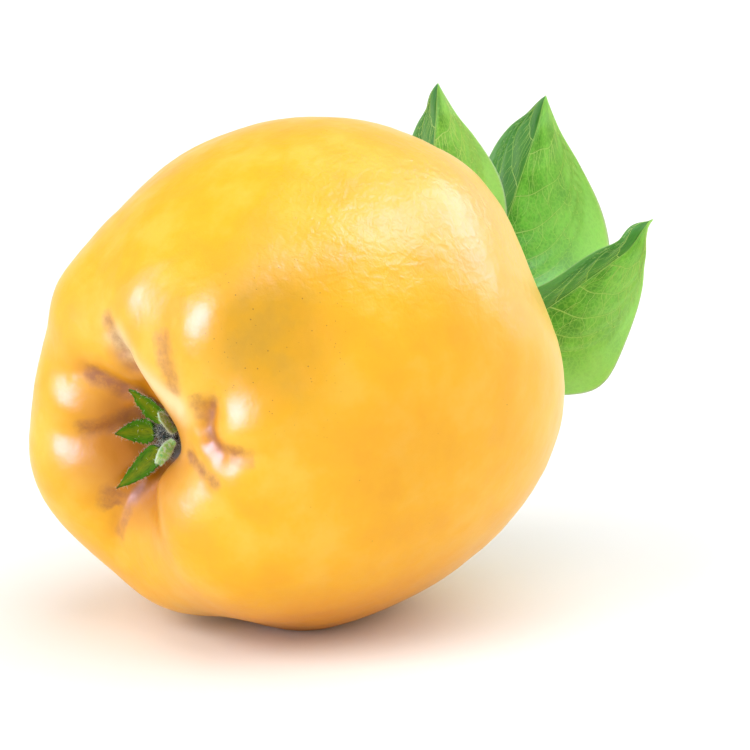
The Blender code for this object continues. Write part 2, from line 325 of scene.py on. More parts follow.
class Hairs:
    """Hairs scattered over a mesh where its wool mask is high, each bent and tapered."""

    def __init__(self, name: str, material: Material) -> None:
        """Builds the tree, with the hairs' number, size, bend and lean as inputs."""
        tree, given = open_tree(name, (("Density", "Float"), ("Length", "Float"), ("Slenderness", "Float"),
                                       ("Bend", "Float"), ("Lean", "Float"), ("Seed", "Int")))
        wool = add_node(tree, "GeometryNodeInputNamedAttribute", {"Name": "wool"}, data_type="FLOAT")
        density = add_node(tree, "ShaderNodeMath", {0: wool, 1: given["Density"]}, operation="MULTIPLY")
        scatter = add_node(tree, "GeometryNodeDistributePointsOnFaces", {
            "Mesh": given["Geometry"], "Density": density, "Seed": given["Seed"]}).node.outputs
        bend = add_node(tree, "ShaderNodeCombineXYZ", {"X": given["Bend"], "Y": 0.0, "Z": 0.85})
        line = add_node(tree, "GeometryNodeCurveQuadraticBezier", {
            "Resolution": 5, "Start": (0, 0, 0), "Middle": (0, 0, 0.55), "End": bend})
        ring = add_node(tree, "GeometryNodeCurvePrimitiveCircle", {"Resolution": 3,
                                                                   "Radius": given["Slenderness"]})
        factor = add_node(tree, "GeometryNodeSplineParameter")
        taper = add_node(tree, "ShaderNodeMapRange", {"Value": factor, 1: 0.0, 2: 1.0, 3: 1.0, 4: 0.25})
        hair = add_node(tree, "GeometryNodeCurveToMesh", {"Curve": line, "Profile Curve": ring,
                                                          "Scale": taper, "Fill Caps": True})
        less = add_node(tree, "ShaderNodeMath", {0: given["Lean"], 1: -1.0}, operation="MULTIPLY")
        low = add_node(tree, "ShaderNodeCombineXYZ", {"X": less, "Y": less, "Z": 0.0})
        high = add_node(tree, "ShaderNodeCombineXYZ", {"X": given["Lean"], "Y": given["Lean"],
                                                       "Z": 2 * math.pi})
        lean = add_node(tree, "FunctionNodeRandomValue", {0: low, 1: high, "Seed": given["Seed"]},
                        data_type="FLOAT_VECTOR")
        lean = add_node(tree, "FunctionNodeEulerToRotation", {0: lean})
        way = add_node(tree, "FunctionNodeRotateRotation", {0: scatter["Rotation"], 1: lean},
                       rotation_space="LOCAL")
        share = add_node(tree, "FunctionNodeRandomValue", {2: 0.45, 3: 1.0, "Seed": given["Seed"]}, output=1,
                         data_type="FLOAT")
        size = add_node(tree, "ShaderNodeMath", {0: share, 1: given["Length"]}, operation="MULTIPLY")
        size = add_node(tree, "ShaderNodeCombineXYZ", {"X": size, "Y": size, "Z": size})
        hairs = add_node(tree, "GeometryNodeInstanceOnPoints", {"Points": scatter["Points"], "Instance": hair,
                                                                "Rotation": way, "Scale": size})
        close_tree(tree, hairs, material)
        self.tree = tree

    def grow(self, name: str, skin: Mesh, per_cm2: float, length: float, width: float,
             bend: float, lean: float, seed: int) -> Object:
        """Scatters hairs on a mesh.

        Args:
            name: the new piece's name.
            skin: the mesh they grow on, with its wool mask.
            per_cm2: hairs on a square centimetre where the mask is 1.
            length: the longest hair, in millimetres.
            width: its diameter at the root, in millimetres.
            bend: how far its tip is bent over, as a share of its length.
            lean: the most that it leans away from upright, in degrees.
            seed: picks one scatter.

        Returns:
            The hairs as one mesh object.
        """
        return evaluated(name, skin.copy(), self.tree, {
            "Density": per_cm2 * 1e4, "Length": length * MM, "Slenderness": width / length / 2, "Bend": bend,
            "Lean": math.radians(lean), "Seed": seed})


def evaluated(name: str, mesh: Mesh, tree: NodeTree, values: dict) -> Object:
    """Runs a geometry tree on a mesh and keeps the result as a plain mesh.

    Args:
        name: the new object's name.
        mesh: the mesh that the tree is given.
        tree: the geometry tree.
        values: input name to its value.

    Returns:
        The result as a mesh object at the origin.
    """
    source = mesh_object(name + "_source", mesh)
    modifier = source.modifiers.new("nodes", "NODES")
    modifier.node_group = tree
    for item in tree.interface.items_tree:
        if item.in_out == "INPUT" and item.name in values:
            modifier[item.identifier] = values[item.name]
    graph = bpy.context.evaluated_depsgraph_get()
    result = bpy.data.meshes.new_from_object(source.evaluated_get(graph), depsgraph=graph)
    bpy.data.objects.remove(source)
    return mesh_object(name, result)


# ---- finishes ----


@dataclass(frozen=True)
class QuinceSkin:
    """Waxy skin of a ripe quince: a soft gloss over golden yellow, with pores, russet, a bruise, painted
    shade in its calyx hollow, creases and lower body, and painted light on that hollow's lip and at the stem
    end.
    """

    gold: str = "#F0B30A"
    # a tone of the mottle, and painted light towards the stem end
    pale: str = "#F6CD56"
    orange: str = "#E59C08"
    # painted shade on the lower body
    amber: str = "#D99004"
    # painted shade in the calyx basin and the creases
    deep_and_painted_shade: str = "#BC7204"
    bruise: str = "#AE7E00"
    russet: str = "#945A2C"
    # partly paler skin, partly a painted highlight on the basin's lip
    cream: str = "#EFD59A"
    pit: str = "#46420F"
    pore: str = "#7A5410"
    peel_size: float = 2.4       # mm from one soft bump of the peel to the next
    crinkle_size: float = 1.9    # of the shrivelled peel towards the stem
    mottle_size: float = 9.0     # of the patches of deeper and paler yellow
    scurf_size: float = 1.6      # of the grain in the russet
    pore_size: float = 1.15      # from one pore to the next
    cluster_size: float = 5.0    # of the groups that the pores stand in
    evenness: float = 0.65       # share of plain gold in the patches of yellow

    def material(self) -> Material:
        """Builds the material; it reads the masks that the fruit stores on its skin."""
        material, tree, shader = new_material("ripe_quince_skin", {
            "IOR": 1.45, "Specular IOR Level": 0.4, "Subsurface Weight": 0.08, "Subsurface Scale": MM,
            "Subsurface Radius": (3.0, 1.6, 0.4), "Coat Weight": 0.15, "Coat Roughness": 0.3})
        place = add_node(tree, "ShaderNodeTexCoord", output="Object")
        mask = {name: add_node(tree, "ShaderNodeAttribute", attribute_name=name, output="Fac")
                for name in ("crease", "basin", "bruise", "cream", "shade", "pit", "amber", "crinkle")}
        mottle, grain, peel, crinkle, cluster = (
            add_node(tree, "ShaderNodeTexNoise", {"Vector": place, "Scale": per_mm(size), "Detail": detail,
                                                  "Roughness": roughness, "Distortion": distortion})
            for size, detail, roughness, distortion in (
                (self.mottle_size, 4.0, 0.55, 0.0), (self.scurf_size, 5.0, 0.7, 0.0),
                (self.peel_size, 3.0, 0.5, 0.0), (self.crinkle_size, 3.0, 0.5, 0.4),
                (self.cluster_size, 2.0, 0.5, 0.0)))
        bruised = add_node(tree, "ShaderNodeMath", {0: mask["bruise"], 1: mottle}, operation="MULTIPLY")
        scurf = add_node(tree, "ShaderNodeMath", {0: grain, 1: mask["crease"]}, operation="MULTIPLY")
        scurf = add_node(tree, "ShaderNodeMapRange", {"Value": scurf, 1: 0.12, 2: 0.55, 3: 0.0, 4: 0.85})
        pores = add_node(tree, "ShaderNodeTexVoronoi", {"Vector": place, "Scale": per_mm(self.pore_size),
                                                        "Randomness": 1.0}, output="Distance")
        pores = add_node(tree, "ShaderNodeMapRange", {"Value": pores, 1: 0.06, 2: 0.12, 3: 1.0, 4: 0.0})
        some = add_node(tree, "ShaderNodeMapRange", {"Value": cluster, 1: 0.60, 2: 0.74, 3: 0.0, 4: 0.6})
        some = add_node(tree, "ShaderNodeMath", {0: some, 1: mask["bruise"]}, operation="MAXIMUM")
        dots = add_node(tree, "ShaderNodeMath", {0: pores, 1: some}, operation="MULTIPLY")
        colour = add_node(tree, "ShaderNodeValToRGB", {"Fac": mottle},
                          stops=[(0.34, self.orange), (0.50, self.gold), (0.68, self.pale)])
        # painted shade darkens the basin, the creases and the lower body; a painted highlight lightens the
        # basin's lip, and painted light the stem end
        for share, code in ((self.evenness, self.gold), (mask["shade"], self.pale),
                            (mask["amber"], self.amber), (mask["basin"], self.deep_and_painted_shade), (bruised, self.bruise),
                            (mask["cream"], self.cream), (mask["pit"], self.pit), (scurf, self.russet),
                            (dots, self.pore)):
            colour = add_node(tree, "ShaderNodeMix", {0: share, 6: colour, 7: linear(code)}, **BLENDED)
        tree.links.new(colour, shader.inputs["Base Color"])
        dull = add_node(tree, "ShaderNodeMapRange", {"Value": scurf, 1: 0.0, 2: 0.6, 3: 0.36, 4: 0.75})
        tree.links.new(dull, shader.inputs["Roughness"])
        crinkle = add_node(tree, "ShaderNodeMath", {0: crinkle, 1: mask["crinkle"]}, operation="MULTIPLY")
        bump = add_node(tree, "ShaderNodeBump", {"Height": peel, "Strength": 0.45, "Distance": 0.25 * MM})
        for height, strength, depth in ((crinkle, 0.8, 0.45), (grain, 0.2, 0.08)):
            bump = add_node(tree, "ShaderNodeBump", {"Height": height, "Normal": bump, "Strength": strength,
                                                     "Distance": depth * MM})
        tree.links.new(bump, shader.inputs["Normal"])
        return material


@dataclass(frozen=True)
class LeafGreen:
    """Fresh quince leaf: glossy green above with pale veins in a fine net, woolly and pale grey-green below,
    with one half painted darker as shade and the other painted lighter towards its margin as sheen.
    """

    deep_and_painted_shade: str = "#267210"
    bright: str = "#80CC48"
    sheen: str = "#A6DC72"
    below: str = "#A9C49A"
    margin: str = "#A8CC6A"
    net: str = "#A9D862"
    cell: float = 0.95           # mm across one mesh of the fine net
    bend: float = 2.5            # mm from one bend of the net to the next
    stray: float = 1.2           # mm that the net strays at its bends
    patch: float = 11.0          # mm across a patch of deeper or brighter green
    grain: float = 0.9           # mm across the blade's finest bumps

    def material(self) -> Material:
        """Builds the material; it reads the blade's UV map and its lower, margin, side and vein masks."""
        material, tree, shader = new_material("fresh_leaf_blade", {
            "Roughness": 0.46, "Specular IOR Level": 0.3, "Subsurface Weight": 0.25, "Subsurface Scale": MM,
            "Subsurface Radius": (0.5, 1.1, 0.2), "Sheen Weight": 0.12, "Sheen Roughness": 0.4})
        uv = add_node(tree, "ShaderNodeTexCoord", output="UV")
        mask = {name: add_node(tree, "ShaderNodeAttribute", attribute_name=name, output="Fac")
                for name in ("lower", "margin", "side", "vein")}
        tone = add_node(tree, "ShaderNodeTexNoise", {"Vector": uv, "Scale": per_mm(self.patch),
                                                     "Detail": 3.0})
        grain = add_node(tree, "ShaderNodeTexNoise", {"Vector": uv, "Scale": per_mm(self.grain),
                                                      "Detail": 4.0, "Roughness": 0.7})
        dark = add_node(tree, "ShaderNodeMapRange", {"Value": grain, 1: 0.42, 2: 0.62, 3: 0.0, 4: 0.35})
        wander = add_node(tree, "ShaderNodeTexNoise", {"Vector": uv, "Scale": per_mm(self.bend),
                                                       "Detail": 1.0}, output="Color")
        wander = add_node(tree, "ShaderNodeVectorMath", {0: wander, 1: (0.5, 0.5, 0.5)}, operation="SUBTRACT")
        wander = add_node(tree, "ShaderNodeVectorMath", {0: wander, "Scale": self.stray * MM},
                          operation="SCALE")
        bent = add_node(tree, "ShaderNodeVectorMath", {0: uv, 1: wander}, operation="ADD")
        cells = add_node(tree, "ShaderNodeTexVoronoi", {"Vector": bent, "Scale": per_mm(self.cell)},
                         output="Distance", feature="DISTANCE_TO_EDGE")
        net = add_node(tree, "ShaderNodeMapRange", {"Value": cells, 1: 0.02, 2: 0.13, 3: 0.42, 4: 0.0})
        beside = add_node(tree, "ShaderNodeMath", {0: mask["vein"], 1: 0.25}, operation="MULTIPLY")
        edge = add_node(tree, "ShaderNodeMath", {0: mask["margin"], 1: 0.4}, operation="MULTIPLY")
        # painted light and shade: one half of the blade is painted lighter towards its margin as sheen, the
        # other half darker as shade
        lit, dim = (add_node(tree, "ShaderNodeMapRange", {"Value": mask["side"], 1: low, 2: high, 3: 0.0,
                                                          4: most})
                    for low, high, most in ((0.2, 0.8, 0.65), (0.04, -0.04, 0.8)))
        colour = add_node(tree, "ShaderNodeValToRGB", {"Fac": tone},
                          stops=[(0.30, self.deep_and_painted_shade), (0.55, self.bright), (0.80, self.sheen)])
        for share, code in ((dark, self.deep_and_painted_shade), (net, self.net), (beside, self.bright), (lit, self.sheen),
                            (dim, self.deep_and_painted_shade), (mask["lower"], self.below), (edge, self.margin)):
            colour = add_node(tree, "ShaderNodeMix", {0: share, 6: colour, 7: linear(code)}, **BLENDED)
        tree.links.new(colour, shader.inputs["Base Color"])
        relief = add_node(tree, "ShaderNodeMath", {0: cells, 1: grain}, operation="ADD")
        bump = add_node(tree, "ShaderNodeBump", {"Height": relief, "Strength": 0.5, "Distance": 0.12 * MM})
        tree.links.new(bump, shader.inputs["Normal"])
        return material


@dataclass(frozen=True)
class LeafVein:
    """Sap-filled leaf vein: smooth, yellowish and a little translucent."""

    colour: str = "#BCE070"

    def material(self) -> Material:
        """Builds the material."""
        return new_material("leaf_vein", {"Base Color": linear(self.colour), "Roughness": 0.5,
                                          "Subsurface Weight": 0.2, "Subsurface Scale": MM,
                                          "Subsurface Radius": (0.4, 0.6, 0.1)})[0]


@dataclass(frozen=True)
class SepalTissue:
    """Old sepal: olive green streaked lengthwise, woolly below, brown where it has dried."""

    green: str = "#467604"
    olive: str = "#76820A"
    below: str = "#7FAE62"
    dry: str = "#3A2A1C"
    streak: str = "#2A4C06"
    fibre: float = 0.30          # mm from one fibre to the next
    stretch: float = 0.22        # a fibre's width as a share of its length
    patch: float = 1.3           # mm across a dried patch

    def material(self) -> Material:
        """Builds the material; it reads the sepal's UV map and its lower, margin, along and midline masks."""
        material, tree, shader = new_material("sepal_tissue", {
            "Roughness": 0.7, "Specular IOR Level": 0.04, "Subsurface Weight": 0.1, "Subsurface Scale": MM,
            "Subsurface Radius": (0.4, 0.8, 0.2)})
        uv = add_node(tree, "ShaderNodeTexCoord", output="UV")
        mask = {name: add_node(tree, "ShaderNodeAttribute", attribute_name=name, output="Fac")
                for name in ("lower", "margin", "along", "midline")}
        long_way = add_node(tree, "ShaderNodeMapping", {"Vector": uv, "Scale": (self.stretch, 1.0, 1.0)})
        fibre = add_node(tree, "ShaderNodeTexNoise", {"Vector": long_way, "Scale": per_mm(self.fibre),
                                                      "Detail": 2.0})
        fibre = add_node(tree, "ShaderNodeMapRange", {"Value": fibre, 1: 0.48, 2: 0.66, 3: 0.0, 4: 0.55})
        patch = add_node(tree, "ShaderNodeTexNoise", {"Vector": uv, "Scale": per_mm(self.patch),
                                                      "Detail": 3.0})
        tip = add_node(tree, "ShaderNodeMapRange", {"Value": mask["along"], 1: 0.80, 2: 1.0, 3: 0.0, 4: 1.0})
        dried = add_node(tree, "ShaderNodeMath", {0: mask["margin"], 1: tip}, operation="MAXIMUM")
        dried = add_node(tree, "ShaderNodeMath", {0: dried, 1: patch}, operation="MULTIPLY")
        dried = add_node(tree, "ShaderNodeMapRange", {"Value": dried, 1: 0.32, 2: 0.55, 3: 0.0, 4: 0.9})
        out = add_node(tree, "ShaderNodeMapRange", {"Value": mask["midline"], 1: 0.05, 2: 0.75, 3: 0.0,
                                                    4: 1.0})
        colour = add_node(tree, "ShaderNodeValToRGB", {"Fac": out},
                          stops=[(0.0, self.olive), (0.85, self.green)])
        for share, code in ((fibre, self.streak), (mask["lower"], self.below), (dried, self.dry)):
            colour = add_node(tree, "ShaderNodeMix", {0: share, 6: colour, 7: linear(code)}, **BLENDED)
        tree.links.new(colour, shader.inputs["Base Color"])
        bump = add_node(tree, "ShaderNodeBump", {"Height": fibre, "Strength": 0.5, "Distance": 0.1 * MM})
        tree.links.new(bump, shader.inputs["Normal"])
        return material


@dataclass(frozen=True)
class PaleSepal:
    """Sepal curled over to its pale, mealy side: light green mottled with yellow under thin wool."""

    green: str = "#72C46E"
    yellow: str = "#A8D460"
    wool: str = "#C8DEC6"

    def material(self) -> Material:
        """Builds the material; it reads the sepal's UV map and its midline mask."""
        material, tree, shader = new_material("pale_sepal_tissue", {
            "Roughness": 0.6, "Subsurface Weight": 0.15, "Subsurface Scale": MM,
            "Subsurface Radius": (0.4, 0.8, 0.2)})
        uv = add_node(tree, "ShaderNodeTexCoord", output="UV")
        midline = add_node(tree, "ShaderNodeAttribute", attribute_name="midline", output="Fac")
        spots = add_node(tree, "ShaderNodeTexNoise", {"Vector": uv, "Scale": per_mm(0.9), "Detail": 3.0})
        colour = add_node(tree, "ShaderNodeValToRGB", {"Fac": spots},
                          stops=[(0.36, self.green), (0.52, self.yellow), (0.66, self.wool)])
        rim = add_node(tree, "ShaderNodeMapRange", {"Value": midline, 1: 0.6, 2: 1.0, 3: 0.0, 4: 0.8})
        colour = add_node(tree, "ShaderNodeMix", {0: rim, 6: colour, 7: linear(self.wool)}, **BLENDED)
        tree.links.new(colour, shader.inputs["Base Color"])
        bump = add_node(tree, "ShaderNodeBump", {"Height": spots, "Strength": 0.6, "Distance": 0.15 * MM})
        tree.links.new(bump, shader.inputs["Normal"])
        return material


@dataclass(frozen=True)
class Wool:
    """Fine plant wool: pale, soft-edged and dull."""

    name: str = "plant_wool"
    colour: str = "#DDE3CF"

    def material(self) -> Material:
        """Builds the material."""
        return new_material(self.name, {"Base Color": linear(self.colour), "Roughness": 0.7,
                                        "Sheen Weight": 0.3})[0]


@dataclass(frozen=True)
class WitheredTissue:
    """Dried flower remains: dark, matt and finely wrinkled."""

    dark: str = "#1E3428"
    brown: str = "#54462E"

    def material(self) -> Material:
        """Builds the material."""
        material, tree, shader = new_material("withered_flower_tissue", {"Roughness": 0.85})
        place = add_node(tree, "ShaderNodeTexCoord", output="Object")
        spots = add_node(tree, "ShaderNodeTexNoise", {"Vector": place, "Scale": per_mm(0.8), "Detail": 4.0})
        colour = add_node(tree, "ShaderNodeValToRGB", {"Fac": spots},
                          stops=[(0.40, self.dark), (0.66, self.brown)])
        tree.links.new(colour, shader.inputs["Base Color"])
        bump = add_node(tree, "ShaderNodeBump", {"Height": spots, "Strength": 0.8, "Distance": 0.2 * MM})
        tree.links.new(bump, shader.inputs["Normal"])
        return material


@dataclass(frozen=True)
class ShootBark:
    """Bark of a young shoot: olive brown under grey wool, with pale lenticels and a cut face of pale wood."""

    brown: str = "#6B5232"
    olive: str = "#7A7440"
    wool: str = "#B9B094"
    lenticel: str = "#C9B38A"
    wood: str = "#E3D6A4"
    pith: str = "#B79B62"

    def material(self) -> Material:
        """Builds the material; it reads the shoot's cut and pith masks."""
        material, tree, shader = new_material("young_shoot_bark", {"Roughness": 0.75})
        place = add_node(tree, "ShaderNodeTexCoord", output="Object")
        mask = {name: add_node(tree, "ShaderNodeAttribute", attribute_name=name, output="Fac")
                for name in ("cut", "pith")}
        tone = add_node(tree, "ShaderNodeTexNoise", {"Vector": place, "Scale": per_mm(3.0), "Detail": 5.0,
                                                     "Roughness": 0.65})
        colour = add_node(tree, "ShaderNodeValToRGB", {"Fac": tone},
                          stops=[(0.34, self.brown), (0.52, self.olive), (0.68, self.wool)])
        dots = add_node(tree, "ShaderNodeTexVoronoi", {"Vector": place, "Scale": per_mm(1.5)},
                        output="Distance")
        dots = add_node(tree, "ShaderNodeMapRange", {"Value": dots, 1: 0.10, 2: 0.18, 3: 0.9, 4: 0.0})
        for share, code in ((dots, self.lenticel), (mask["cut"], self.wood), (mask["pith"], self.pith)):
            colour = add_node(tree, "ShaderNodeMix", {0: share, 6: colour, 7: linear(code)}, **BLENDED)
        tree.links.new(colour, shader.inputs["Base Color"])
        relief = add_node(tree, "ShaderNodeMath", {0: tone, 1: dots}, operation="ADD")
        bump = add_node(tree, "ShaderNodeBump", {"Height": relief, "Strength": 0.6, "Distance": 0.2 * MM})
        tree.links.new(bump, shader.inputs["Normal"])
        return material


@dataclass(frozen=True)
class WhiteSweep:
    """Matt white card that the quince stands on."""

    colour: str = "#F4F4F3"

    def material(self) -> Material:
        """Builds the material."""
        return new_material("white_card", {"Base Color": linear(self.colour), "Roughness": 0.9})[0]


# ---- the quince ----


@dataclass
class Fruit:
    """The fleshy fruit: a turned body with lobes, creases and swellings, in millimetres and degrees."""

    # radius and height towards the calyx, from the calyx pit round to the stem pit
    profile: tuple = ((0, 31.2), (3.5, 31.4), (6, 33), (8.6, 36), (12.5, 39), (18.5, 40.4), (26.5, 38.0),
                      (34.5, 31.5), (41.5, 20.5), (45.8, 6.5), (46.3, -8), (43.2, -21), (36.8, -32.2),
                      (27, -40.8), (17, -45), (10, -45.4), (5.2, -42.8), (0, -41))
    # angle round the core, place along the profile, height, half-width in degrees, half-length
    lobes: tuple = ((157, 0.146, 1.7, 13, 0.08), (-170, 0.158, 3.3, 24, 0.07), (129, 0.225, 1.6, 13, 0.065),
                    (90, 0.21, 0.9, 13, 0.05), (53, 0.246, 3.4, 18, 0.078), (14, 0.223, 2.0, 12, 0.06),
                    (-4, 0.19, 1.7, 12, 0.05), (-29, 0.10, 3.4, 27, 0.083), (-50, 0.19, 3.4, 26, 0.126),
                    (-101, 0.263, 2.1, 20, 0.065), (-146, 0.226, 3.4, 23, 0.16), (131, 0.288, 1.8, 20, 0.097),
                    (178, 0.208, 1.3, 25, 0.10))
    swells: tuple = ((33, 0.289, -1.8, 14, 0.054), (42, 0.56, 1.8, 26, 0.14), (26, 0.68, -3.0, 18, 0.12),
                     (-10, 0.68, 1.6, 26, 0.14), (5, 0.73, -1.3, 25, 0.10), (-85, 0.307, -2.2, 21, 0.07),
                     (148, 0.346, -2.4, 32, 0.10), (-75, 0.383, 1.1, 19, 0.086))
    # depth, half-width, and the crease's line as angles and places, from the basin outwards
    creases: tuple = ((1.5, 3.2, ((105, 0.05), (114, 0.09), (120, 0.117), (128, 0.135), (140, 0.152),
                                  (152, 0.18))),
                      (2.7, 2.8, ((70, 0.05), (80, 0.085), (88, 0.115), (92, 0.14), (96, 0.165),
                                  (100, 0.21))),
                      (0.9, 3.4, ((40, 0.09), (46, 0.13), (52, 0.158), (60, 0.175), (66, 0.20), (70, 0.25))),
                      (2.0, 2.3, ((36, 0.20), (28, 0.172), (21, 0.161), (14, 0.160), (9, 0.172), (7, 0.20),
                                  (6, 0.27))),
                      (1.0, 2.6, ((14, 0.11), (5, 0.122), (-1, 0.137), (-7, 0.153), (-12, 0.168),
                                  (-16, 0.21))),
                      (1.3, 3.0, ((-125, 0.05), (-122, 0.085), (-119, 0.12), (-117, 0.16), (-116, 0.22))),
                      (1.0, 3.0, ((130, 0.045), (155, 0.062), (170, 0.085), (174, 0.12), (176, 0.17))))
    # streaks that the skin's finish reads, of russet and of a painted highlight: strength, half-width, and
    # the line as angles and places
    russets: tuple = ((1.0, 2.1, ((112, 0.065), (117, 0.082), (120, 0.106), (127, 0.125), (136, 0.145))),
                      (0.85, 2.1, ((128, 0.045), (140, 0.053), (152, 0.062), (163, 0.082), (168, 0.109),
                                   (171, 0.13))),
                      (0.75, 1.8, ((88, 0.10), (93, 0.132), (95, 0.162), (98, 0.18), (100, 0.20))),
                      (0.6, 2.6, ((42, 0.135), (50, 0.152), (58, 0.164), (63, 0.181), (68, 0.21))),
                      (0.6, 2.2, ((38, 0.165), (31, 0.16), (22, 0.157))),
                      (0.75, 1.1, ((32, 0.19), (29, 0.178), (25, 0.164), (17, 0.159), (11, 0.168), (9, 0.189),
                                   (8, 0.205), (7, 0.237))),
                      (0.5, 1.6, ((7, 0.18), (6, 0.195), (5, 0.205), (6, 0.215))),
                      (0.8, 1.2, ((10, 0.112), (5, 0.119), (0, 0.142), (-4, 0.162), (-9, 0.175))),
                      (0.75, 2.4, ((-131, 0.095), (-130, 0.105), (-128, 0.115), (-124, 0.118))),
                      (0.6, 1.5, ((-118, 0.07), (-117, 0.085), (-115, 0.114), (-115, 0.148), (-115, 0.16))))
    # the basin's lip in pale cream: partly paler skin, partly a painted highlight where the lip catches the
    # light
    creams: tuple = ((1.0, 2.5, ((97, 0.175), (92, 0.156), (86, 0.138), (76, 0.124), (60, 0.121), (47, 0.121),
                                  (38, 0.13), (30, 0.131), (20, 0.128))),)
    length: float = 158.0        # of the profile, in millimetres
    blend: float = 0.35          # how softly a crease's straight stretches join
    crease_ends: tuple = (0.2, 0.45)     # shares of a crease over which it deepens and runs out
    streak_start: float = 0.3    # how strong a streak of the finish is at its start
    streak_ends: tuple = (0.15, 0.25)    # shares of a streak over which it grows and fades
    calm_ends: tuple = (0.09, 0.05)      # shares of the profile at its ends over which the lift dies away
    waves: tuple = ((0.28, 14.0, 3.1), (0.07, 4.0, 7.7))     # height, size and seed of the skin's waviness
    calm_waves: float = 0.06     # share of the profile at either end over which the waviness dies away
    lean: tuple = (-2.0, -3.0)   # how far the calyx end leans off the core line, in x and z
    lean_heights: tuple = (-10.0, 40.0)  # where on the core line the lean starts and is full
    # masks that the skin's finish reads along the profile: strength, where each ends or starts, its fade
    # painted shade deep in the calyx basin
    basin: tuple = (0.95, 0.165, 0.10)
    pit: tuple = (1.0, 0.042, 0.018)
    # painted light: the skin grows paler towards the stem end
    stem_painted_light: tuple = (0.75, 0.42, 0.36)
    # painted shade at the bottom of the creases
    crease_painted_shade: tuple = (0.75, 2.0)  # strength of the creases' deeper colour, and the depth where it is full
    # patches that the skin's finish reads: angle, place, half-width in degrees, half-length, strength
    bruises: tuple = ((34, 0.265, 19, 0.055, 1.3), (44, 0.31, 18, 0.07, 0.6), (-86, 0.27, 12, 0.05, 0.5))
    # painted shade: deeper amber patches on the lower body
    ambers: tuple = ((-68, 0.30, 24, 0.10, 1.0), (-60, 0.45, 32, 0.14, 0.8), (0, 0.36, 22, 0.08, 0.4),
                     (5, 0.52, 26, 0.10, 0.3))
    crinkles: tuple = ((52, 0.42, 20, 0.10, 1.0), (50, 0.55, 25, 0.12, 1.0), (38, 0.68, 22, 0.10, 0.8))
    segments: int = 400
    rings: int = 240

    def profile_at(self, t: Array) -> Array:
        """Radius and height at places along the profile, on a smooth curve mirrored past the core line."""
        p = np.asarray(self.profile, float)
        chord = np.r_[0, np.cumsum(np.hypot(*np.diff(p, axis=0).T))]
        chord /= chord[-1]
        q = np.vstack([p[1] * [-1, 1], p, p[-2] * [-1, 1]])
        k = np.r_[-chord[1], chord, 2 - chord[-2]]
        i = np.clip(np.searchsorted(chord, t, side="right") - 1, 0, len(p) - 2)
        h = k[i + 2] - k[i + 1]
        slope_in = (q[i + 2] - q[i]) / (k[i + 2] - k[i])[:, None]
        slope_out = (q[i + 3] - q[i + 1]) / (k[i + 3] - k[i + 1])[:, None]
        x = ((t - k[i + 1]) / h)[:, None]
        h = h[:, None]
        return ((2 * x**3 - 3 * x**2 + 1) * q[i + 1] + (x**3 - 2 * x**2 + x) * h * slope_in
                + (-2 * x**3 + 3 * x**2) * q[i + 2] + (x**3 - x**2) * h * slope_out)

    def beside(self, line: Sequence[tuple], along: Array, around: Array) -> tuple[Array, Array]:
        """Finds how far places on the skin are from a line drawn on it.

        Args:
            line: its angles and places along the profile.
            along: places along the profile.
            around: angles round the core, in degrees.

        Returns:
            The distances in millimetres, and how far along the line its nearest point is, from 0 to 1.
        """
        radius = np.maximum(self.profile_at(along)[:, 0], 2.0)
        near, run = np.zeros(len(along)), np.zeros(len(along))
        for i, ((a0, s0), (a1, s1)) in enumerate(zip(line, line[1:])):
            x, y = np.radians(turn(around, a0)) * radius, (along - s0) * self.length
            dx, dy = np.radians(a1 - a0) * radius, (s1 - s0) * self.length
            share = np.clip((x * dx + y * dy) / (dx * dx + dy * dy), 0, 1)
            close = np.exp(-np.hypot(x - share * dx, y - share * dy) / self.blend)
            near, run = near + close, run + close * (i + share)
        near = near + 1e-300
        return np.maximum(-self.blend * np.log(near), 0), run / near / (len(line) - 1)

    def folds(self, along: Array, around: Array) -> Array:
        """How deep the creases are at places on the skin, in millimetres."""
        total = np.zeros(len(along))
        for depth, width, line in self.creases:
            distance, run = self.beside(line, along, around)
            ends = smoothstep(run / self.crease_ends[0]) * smoothstep((1 - run) / self.crease_ends[1])
            total += depth * ends * np.exp(-(distance / width)**1.5)
        return total

    def streaks(self, lines: Sequence[tuple], along: Array, around: Array) -> Array:
        """A mask that is near each line's strength on it, and fades at its ends and over its half-width."""
        mask = np.zeros(len(along))
        for strength, width, line in lines:
            distance, run = self.beside(line, along, around)
            ends = (smoothstep(run / self.streak_ends[0] + self.streak_start)
                    * smoothstep((1 - run) / self.streak_ends[1]))
            mask = np.maximum(mask, strength * ends * np.exp(-(distance / width)**2))
        return mask

    def surface(self, along: Array, around: Array) -> Array:
        """The skin in the fruit's own frame: along is 0 at the calyx pit and 1 at the stem pit."""
        p = self.profile_at(along)
        step = 1e-3
        d = self.profile_at(np.clip(along + step, 0, 1)) - self.profile_at(np.clip(along - step, 0, 1))
        normal = unit(np.stack([-d[:, 1], d[:, 0]], 1))
        lift = -self.folds(along, around)
        for angle, place, height, width, length in self.lobes + self.swells:
            lift += height * np.exp(-(turn(around, angle) / width)**2 - ((along - place) / length)**2)
        lift *= smoothstep(along / self.calm_ends[0]) * smoothstep((1 - along) / self.calm_ends[1])
        p = p + normal * lift[:, None]
        f = np.radians(around)
        low, high = self.lean_heights
        lean = smoothstep((p[:, 1] - low) / (high - low))
        return np.stack([p[:, 0] * np.cos(f) + self.lean[0] * lean, -p[:, 1],
                         p[:, 0] * np.sin(f) + self.lean[1] * lean], 1)

